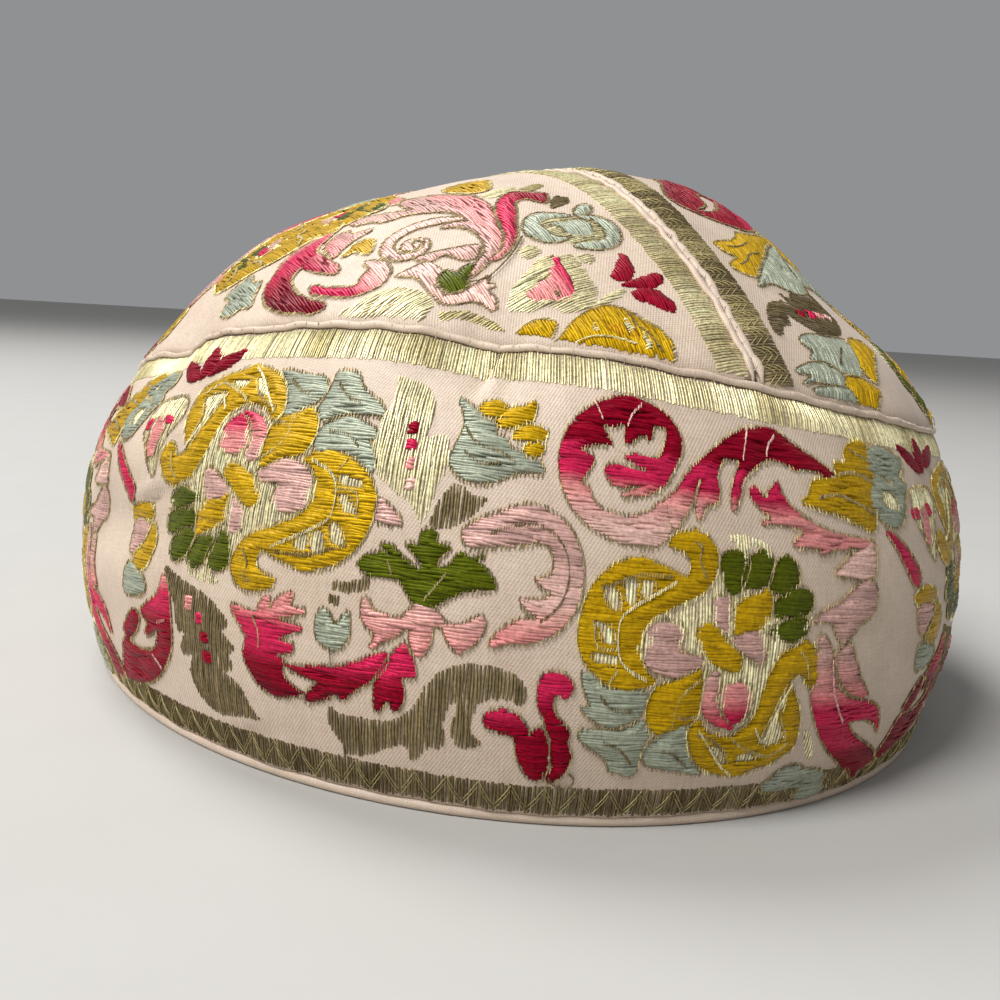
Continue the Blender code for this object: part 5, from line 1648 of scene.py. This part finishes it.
@dataclass
class Borders:
    """The metal strips along the ribbon's two edges, with their pale zigzags."""

    weaver: Weaver
    pitch: float = 0.50

    def strip(
        self,
        along: int,
        low: float,
        high: float,
        start: float,
        end: float,
        shade: Callable[[Array], Array],
        line_of: Callable[[Array], Array] | None = None,
    ) -> None:
        """Lays a strip of metal threads across its own length.

        Args:
            along: the chart axis of the strip's length.
            low: near edge across, mm.
            high: far edge across.
            start: where it starts along.
            end: where it ends.
            shade: linear colours by place along.
            line_of: a shift across by place along, mm.
        """
        weaver = self.weaver
        count = int((end - start) / self.pitch)
        row = start + (np.arange(count) + 0.5) * (end - start) / count
        row = row + weaver.random.uniform(-0.09, 0.09, count)
        shift = line_of(row) if line_of else np.zeros(count)
        share = np.linspace(0, 1, 4)[None, :]
        fray = weaver.random.uniform(-0.18, 0.18, (count, 2))
        table = np.stack([low + shift + fray[:, 0], high + shift + fray[:, 1], row], axis=1)
        table = weaver.trim(table, 1 - along)
        row = table[:, 2]
        places = np.empty((len(table), 4, 2))
        places[..., along] = row[:, None]
        places[..., 1 - along] = table[:, :1] + (table[:, 1:2] - table[:, :1]) * share
        arch = np.array([0.35, 1.0, 1.0, 0.35])[None, :]
        lift = 0.16 * arch + weaver.random.uniform(-0.03, 0.03, (len(row), 1))
        tint = shade(row)[:, None, :] * weaver.random.normal(1, 0.13, (len(row), 1, 1)) * np.ones((1, 4, 1))
        weaver.put(weaver.gilt, places, lift, tint, 0.8 + 0.2 * arch * np.ones((len(row), 1)))

    def zigzag(self, along: int, low: float, high: float, start: float, end: float, pitch: float) -> None:
        """Lays a pale zigzag over a strip.

        Args:
            along: the chart axis of its length.
            low: near edge across, mm.
            high: far edge across.
            start: where it starts along.
            end: where it ends.
            pitch: of one full turn, mm.
        """
        weaver = self.weaver
        turns = np.arange(start, end, pitch / 2)
        corners = np.empty((len(turns), 2))
        corners[:, along] = turns
        corners[:, 1 - along] = np.where(np.arange(len(turns)) % 2 == 0, low, high)
        share = np.array([0.04, 0.35, 0.65, 0.96])[None, :, None]
        places = corners[:-1, None] + (corners[1:] - corners[:-1])[:, None] * share
        places = places[weaver.keep(places[:, 1])]
        if len(places) == 0:
            return
        lift = np.array([0.16, 0.36, 0.36, 0.16])[None, :] * np.ones((len(places), 1))
        tint = LINEAR[Silk.BRASS] * weaver.random.normal(1, 0.08, (len(places), 1, 1)) * np.ones((1, 4, 1))
        weaver.put(weaver.ticks, places, lift, tint, np.full(lift.shape, 0.6))


def metal_mix(light: Silk, dark: Silk, wave: float, seed: int, lean: float) -> Callable[[Array], Array]:
    """A metal's colour along a strip, worn here and bright there.

    Args:
        light: bright metal.
        dark: worn metal; on the band's lower strip, a darker metal that also carries painted shade.
        wave: length of a change, mm.
        seed: of the changes.
        lean: the mean share of bright metal.

    Returns:
        A function from places along to linear colours.
    """
    draws = np.random.default_rng(seed)
    phases = draws.uniform(0, 2 * math.pi, 5)
    lengths = wave * draws.uniform(0.5, 2.2, 5)

    def shade(row: Array) -> Array:
        """Linear colours at places along."""
        total = sum(np.sin(2 * math.pi * row / length + phase) for length, phase in zip(lengths, phases))
        share = np.clip(lean + total * 0.22, 0, 1)[:, None]
        return LINEAR[light] * share + LINEAR[dark] * (1 - share)

    return shade


FLOSS = FlossThread("floss_silk", metallic=0.18, roughness=0.38, gloss=0.65)
GILT_STRIP = FlossThread("gilt_strip_on_silk", metallic=0.33, roughness=0.34, gloss=0.6, fleck=0.35)
BINDING = FlossThread("silk_binding_thread", metallic=0.3, roughness=0.45, gloss=0.4)
SEWING = FlossThread("cotton_sewing_thread", metallic=0.0, roughness=0.7, gloss=0.2)


@dataclass
class Sewing:
    """The small stitches that hold the rolled edges: over the band's seam, and across the top one."""

    hat: Hat
    seed: int = 41
    thread: ThreadSpinner = ThreadSpinner(width_mm=0.17, height_mm=0.17, seed=17)
    side_pitch: float = 2.9
    top_pitch: float = 2.4
    top_reach: float = 96.0

    def build(self) -> list[Object]:
        """Sews both seams.

        Returns:
            The pieces.
        """
        hat, draws, finish = self.hat, np.random.default_rng(self.seed), SEWING.build()
        u = np.arange(0, hat.maker.girth, self.side_pitch)
        u = u + draws.uniform(-0.5, 0.5, len(u))
        side = np.stack([u + 0.35, np.full_like(u, hat.maker.ribbon)], axis=1)
        edge = self.row("band_seam_stitches", hat.band, side, np.array([-0.6, 1.0]), 0.62, draws)
        y = np.arange(-self.top_reach, self.top_reach, self.top_pitch)
        y = y + draws.uniform(-0.4, 0.4, len(y))
        over = np.stack([hat.top_seam(y), y], axis=1)
        top = self.row("top_seam_stitches", hat.crown, over, np.array([1.0, 0.4]), 1.1, draws)
        pieces = []
        for lot in (edge, top):
            piece = self.thread.spin(lot, finish)
            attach(piece, BODY)
            pieces.append(piece)
        return pieces

    def row(
        self, name: str, chart: ClothChart, middles: Array, way: Array, half: float, draws: Generator
    ) -> ThreadLot:
        """One stitch at each middle, over the roll there.

        Args:
            name: of the lot.
            chart: the cloth's chart.
            middles: chart places.
            way: the stitches' direction on the chart.
            half: half their length, mm.
            draws: random draws.

        Returns:
            The stitches.
        """
        way = way / np.hypot(*way) * half
        share = np.linspace(-1, 1, 5)[None, :, None]
        tilt = draws.uniform(0.8, 1.15, (len(middles), 1, 2))
        places = middles[:, None] + way * share * tilt
        if chart is self.hat.crown:
            reach = np.hypot(middles[:, 0], middles[:, 1])
            azimuth = np.arctan2(middles[:, 1], middles[:, 0])
            places = places[reach < np.interp(azimuth, *self.hat.seam_reach) - 1.0]
            lift = np.array([0.1, 1.0, 0.5, 1.0, 0.1])
        else:
            lift = np.array([0.1, 0.74, 0.98, 0.74, 0.1])
        lift = lift[None, :] * np.ones((len(places), 1))
        tint = LINEAR[Silk.CREAM] * draws.normal(0.95, 0.07, (len(places), 1, 1)) * np.ones((1, 5, 1))
        lot = ThreadLot(name)
        lot.lay(
            chart.place(places[..., 0], places[..., 1], lift),
            chart.facing(places[..., 0], places[..., 1]),
            tint,
            np.ones(lift.shape),
        )
        return lot


@dataclass
class Brocade:
    """All the figures and borders of the hat, spun into pieces that lie on the cloth."""

    hat: Hat
    floss: ThreadSpinner = ThreadSpinner(width_mm=0.78, height_mm=0.28)
    strip: ThreadSpinner = ThreadSpinner(width_mm=0.42, height_mm=0.24, seed=11)
    tick: ThreadSpinner = ThreadSpinner(width_mm=0.27, height_mm=0.24, sides=3, seed=13)
    olive_border: tuple[float, float] = (2.0, 6.7)  # across the ribbon, mm
    gold_border: tuple[float, float] = (62.6, 67.4)
    zigzag_pitch: float = 4.6
    seam_pitch: float = 3.6  # of the zigzags along the top seam
    seam_reach: float = 105.0  # how far the top seam's borders run each way

    def build(self) -> list[Object]:
        """Weaves and spins everything.

        Returns:
            The pieces.
        """
        finishes = {"silk": FLOSS.build(), "gilt": GILT_STRIP.build(), "ticks": BINDING.build()}
        spinners = {"silk": self.floss, "gilt": self.strip, "ticks": self.tick}
        pieces = []
        weavers = (("band", "band_silk", self.band()), ("crown", "crown_silk", self.crown()))
        labels = (("silk", "silk_floats"), ("gilt", "gilt_floats"), ("ticks", "binding_ticks"))
        for prefix, slot, weaver in weavers:
            for kind, label in labels:
                lot = getattr(weaver, kind)
                lot.name = f"{prefix}_{label}"
                piece = spinners[kind].spin(lot, finishes[kind])
                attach(piece, BODY)
                pieces.append(piece)
        return pieces

    def band(self) -> Weaver:
        """Weaves the band."""
        hat = self.hat
        girth, ribbon = hat.maker.girth, hat.maker.ribbon

        def keep(places: Array) -> Array:
            """Whether places lie on the band, clear of its edges."""
            return (places[..., 1] > 1.9) & (places[..., 1] < ribbon - 0.4)

        weaver = Weaver(hat.band, 1, keep, seed=21)
        repeats = [Setting(to=(k * girth / 4, 0.0)) for k in (-1, 0, 1, 2)]
        shells = [
            Setting(one.pivot, (one.to[0] + again.to[0], one.to[1]), one.scale)
            for again in repeats
            for one in SHELL_SETTINGS
        ]
        weaver.weave(BAND_FIGURES, repeats)
        weaver.weave(SHELL, shells)
        borders = Borders(weaver)
        start = -girth / 2
        # the band's lower strip takes darker metal than the crown's olive strip: painted shade, besides the
        # metal's wear
        olive = metal_mix(Silk.OLIVE, Silk.SHADED_UMBER, 9, 3, 0.5)
        gold = metal_mix(Silk.GILT, Silk.BRASS, 14, 4, 0.7)
        borders.strip(0, *self.olive_border, start, start + girth, olive)
        for low, high in ((2.2, 5.9), (3.0, 6.7)):
            borders.zigzag(0, low, high, start, start + girth, self.zigzag_pitch)
        borders.strip(0, *self.gold_border, start, start + girth, gold)
        return weaver

    def crown(self) -> Weaver:
        """Weaves the crown's two panels."""
        hat = self.hat

        def keep(places: Array) -> Array:
            """Whether places lie on the crown, clear of its seams."""
            point = hat.crown.place(places[..., 0], places[..., 1])
            azimuth = np.arctan2(point[..., 1], point[..., 0])
            above = point[..., 2] > hat.form.band_top(azimuth) * hat.form.height + 1.4 * MM
            return above & (np.abs(places[..., 0] - hat.top_seam(places[..., 1])) > 1.1)

        weaver = Weaver(hat.crown, 0, keep, seed=22)
        front, turned = Setting(), Setting((0.0, 0.0), (-14.0, 0.0), (-1.0, -1.0))
        far = (Setting(to=(97.0, 14.0)), Setting(to=(-111.0, -14.0), scale=(-1.0, -1.0)))
        upper = [figure for figure in CROWN_LEFT if figure.outlines[0][:, 1].mean() > -60]
        weaver.weave(CROWN_LEFT, [front, turned])
        weaver.weave(CROWN_RIGHT, [front, turned])
        weaver.weave(upper, far)
        shells = (((53, -69), 0.9), ((-67, 69), -0.9))
        weaver.weave(SHELL, [Setting(SHELL_PIVOT, to, (size, size), True) for to, size in shells])
        borders, reach = Borders(weaver), self.seam_reach
        gold = metal_mix(Silk.GILT, Silk.BRASS, 26, 5, 0.75)
        olive = metal_mix(Silk.BRASS, Silk.OLIVE, 12, 6, 0.25)
        borders.strip(1, -7.0, -1.3, -reach, reach, gold, hat.top_seam)
        borders.strip(1, 1.3, 7.0, -reach, reach, olive, hat.top_seam)
        for low, high in ((-6.6, -4.2), (-5.4, -3.0), (-4.2, -1.8)):
            borders.zigzag(1, low, high, -reach, reach, self.seam_pitch)
        return weaver


@dataclass
class Selvages:
    """The rolled edges along the seams, and the turned edge round the rim."""

    hat: Hat
    seed: int = 31
    lift: float = 0.40
    seam_spread: float = 0.72
    pitch: float = 0.9  # between a roll's rings
    sides: int = 10
    seam_rings: int = 220
    end_gap: float = 0.0003  # from the top seam's rolls to the band, metres
    rim_rings: int = 480
    rim_sides: int = 12

    def build(self) -> list[Object]:
        """Builds the four rolls.

        Returns:
            The pieces.
        """
        hat, draws = self.hat, np.random.default_rng(self.seed)
        u = np.arange(0, hat.maker.girth, self.pitch)
        v = np.full_like(u, hat.maker.ribbon + 0.1) + self.wander(u, hat.maker.girth, draws, 0.26)
        rings = self.roll(hat.band, u, v, True, draws, 0.52)
        rolls = [("band_edge_selvage", "band_edge_roll", rings, True)]
        for side, label in ((-1, "left"), (1, "right")):
            x = TOP_SEAM_X + side * self.seam_spread * MM
            ends = [hat.edge_plan(a, 0.0)[1] for a in hat.seam_azimuths(x)]
            plan_y = np.linspace(ends[0] + self.end_gap, ends[1] - self.end_gap, self.seam_rings)
            place = hat.chart_of_plan(np.full_like(plan_y, x), plan_y)
            sway = self.wander(place[:, 1], 230.0, draws, 0.28)
            rings = self.roll(hat.crown, place[:, 0] + sway, place[:, 1], False, draws, 0.58)
            rolls.append((f"seam_selvage_{label}", f"seam_roll_{label}", rings, False))
        pieces = []
        for name, node, rings, closed in rolls:
            piece = tube(name, rings, closed, (self.pitch, 0.55), hat.selvage)
            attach(piece, BODY)
            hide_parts(node)
            pieces.append(piece)
        return pieces + [self.rim()]

    def wander(self, along: Array, whole: float, draws: Generator, size: float) -> Array:
        """A smooth random wander that joins up after a whole length, mm."""
        total = np.zeros_like(along)
        for turns in (7, 13, 22, 37, 61):
            wave = np.sin(2 * math.pi * turns * along / whole + draws.uniform(0, 6.3))
            total += wave * draws.uniform(0.4, 1.0)
        return total * size / 2

    def roll(
        self, chart: ClothChart, first: Array, second: Array, closed: bool, draws: Generator, thick: float
    ) -> Array:
        """The rings of a rolled selvage along a line of the chart.

        Args:
            chart: of the cloth that it lies on.
            first: the line's first chart coordinates.
            second: and its second ones.
            closed: whether the line joins up.
            draws: random draws.
            thick: from the roll's middle to its surface, mm.

        Returns:
            (rings, sides, 3) places in metres.
        """
        centre = chart.place(first, second, self.lift)
        out = chart.facing(first, second)
        ahead = np.roll(centre, -1, 0) - np.roll(centre, 1, 0)
        if not closed:
            ahead[0], ahead[-1] = centre[1] - centre[0], centre[-1] - centre[-2]
        ahead /= np.linalg.norm(ahead, axis=1, keepdims=True)
        across = np.cross(out, ahead)
        index = np.arange(len(first))
        along = index * self.pitch
        fat = 1 + 0.14 * self.wander(along, along[-1] + self.pitch, draws, 1.0)
        if not closed:
            fat = fat * np.clip(np.minimum(index, index[::-1]) / 2, 0.5, 1)
        radius = (thick * MM * fat)[:, None, None]
        turn = np.arange(self.sides)[None, :, None] * 2 * math.pi / self.sides
        wide, tall = across[:, None] * (np.cos(turn) * 1.15), out[:, None] * (np.sin(turn) * 0.85)
        return centre[:, None] + wide * radius + tall * radius

    def rim(self) -> Object:
        """The turned edge that stands on the floor."""
        hat = self.hat
        azimuth = np.linspace(-math.pi, math.pi, self.rim_rings, endpoint=False)
        line = hat.form.wall(azimuth, 0 * azimuth) - np.array(hat.form.centre)
        out = np.stack([np.cos(azimuth), np.sin(azimuth), 0 * azimuth], axis=-1)
        turn = np.arange(self.rim_sides) * 2 * math.pi / self.rim_sides
        wide, tall = np.cos(turn) * 1.25 - 0.55, 0.85 + 0.85 * np.clip(np.sin(turn) * 1.3, -1, 1)
        rings = line[:, None] + out[:, None] * wide[None, :, None] * MM
        rings[..., 2] = tall[None, :] * MM
        piece = tube("rim_selvage", rings, True, (1.18, 0.5), hat.selvage)
        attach(piece, BODY)
        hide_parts("rim_roll")
        return piece


@dataclass(frozen=True)
class Lamp:
    """A round soft lamp, which points at the hat."""

    name: str
    place: tuple[float, float, float]
    size: float  # metres
    power: float  # watts
    target: tuple[float, float, float] = (0.0, 0.0, 0.05)

    def build(self) -> None:
        """Hangs the lamp."""
        data = bpy.data.lights.new(self.name, "AREA")
        data.shape, data.size, data.energy = "DISK", self.size, self.power
        lamp = bpy.data.objects.new(self.name, data)
        lamp.location = self.place
        aim = Vector(self.target) - Vector(self.place)
        lamp.rotation_euler = aim.to_track_quat("-Z", "Y").to_euler()
        bpy.context.scene.collection.objects.link(lamp)


@dataclass
class Studio:
    """The floor, the lamps and the camera of the photograph."""

    camera_place: tuple[float, float, float] = (-0.11475, -0.20118, 0.0715)
    heading: float = math.radians(29.6)  # to the right of +Y, seen from the hat's front
    yaw: float = -0.001
    pitch: float = 0.173
    roll: float = 0.060
    focal_share: float = 1.0307  # focal length over the picture's width
    floor_radius: float = 9.0
    floor_corners: int = 96
    lamps: tuple[Lamp, ...] = (
        Lamp("key_lamp", (-1.05, -0.25, 1.3), 0.7, 27.0),
        Lamp("fill_lamp", (-1.1, -1.0, 0.5), 1.2, 1.4),
        Lamp("back_lamp", (-0.35, 0.9, 1.6), 0.8, 24.0),
    )
    surround: str = "#E9EBEE"
    surround_strength: float = 0.34

    def build(self) -> None:
        """Builds the camera, the lamps, the pale surround and the floor."""
        self.add_camera()
        for lamp in self.lamps:
            lamp.build()
        world = bpy.data.worlds.new("pale_surround")
        world.use_nodes = True
        light = {"Color": srgb_to_linear(self.surround), "Strength": self.surround_strength}
        set_inputs(world.node_tree.nodes["Background"], light)
        bpy.context.scene.world = world
        bpy.context.scene.view_settings.view_transform = "Standard"
        self.add_floor()

    def add_camera(self) -> None:
        """Sets the camera at the photograph's angle."""
        yaw, pitch, roll = self.yaw, self.pitch, self.roll
        cos, sin = math.cos(pitch), math.sin(pitch)
        forward = Vector((math.sin(yaw) * cos, math.cos(yaw) * cos, -sin))
        right = Vector((math.cos(yaw), -math.sin(yaw), 0))
        up = right.cross(forward)
        across = right * math.cos(roll) + up * math.sin(roll)
        upward = up * math.cos(roll) - right * math.sin(roll)
        turn = Matrix.Rotation(-self.heading, 3, "Z")
        axes = Matrix((turn @ across, turn @ upward, turn @ -forward)).transposed()
        data = bpy.data.cameras.new("camera")
        data.sensor_width = 36
        data.lens = self.focal_share * data.sensor_width
        data.clip_start = 0.01
        camera = bpy.data.objects.new("camera", data)
        camera.matrix_world = Matrix.Translation(self.camera_place) @ axes.to_4x4()
        bpy.context.scene.collection.objects.link(camera)
        bpy.context.scene.camera = camera

    def add_floor(self) -> None:
        """Lays the floor under the rim."""
        turn = np.linspace(0, 2 * math.pi, self.floor_corners, endpoint=False)
        corners = self.floor_radius * np.stack([np.cos(turn), np.sin(turn), 0 * turn], axis=1)
        floor = new_piece("floor", corners, [tuple(range(self.floor_corners))], PaintedFloor().build())
        floor.data.shade_flat()


def main() -> None:
    """Builds the hat and its studio in order."""
    logging.basicConfig(level=logging.INFO, format="%(name)s: %(message)s")
    hat = Hat()
    builders = [
        Band(hat),
        CrownPanel(hat, "crown_left_cloth", "top_panel_left", -1),
        CrownPanel(hat, "crown_right_cloth", "top_panel_right", +1),
    ]
    for builder in builders:
        piece = builder.build()
        LOG.info("%s: %d faces", piece.name, len(piece.data.polygons))
    for piece in Selvages(hat).build() + Sewing(hat).build() + Brocade(hat).build():
        LOG.info("%s: %d faces", piece.name, len(piece.data.polygons))
    Studio().build()


if __name__ == "__main__":
    main()
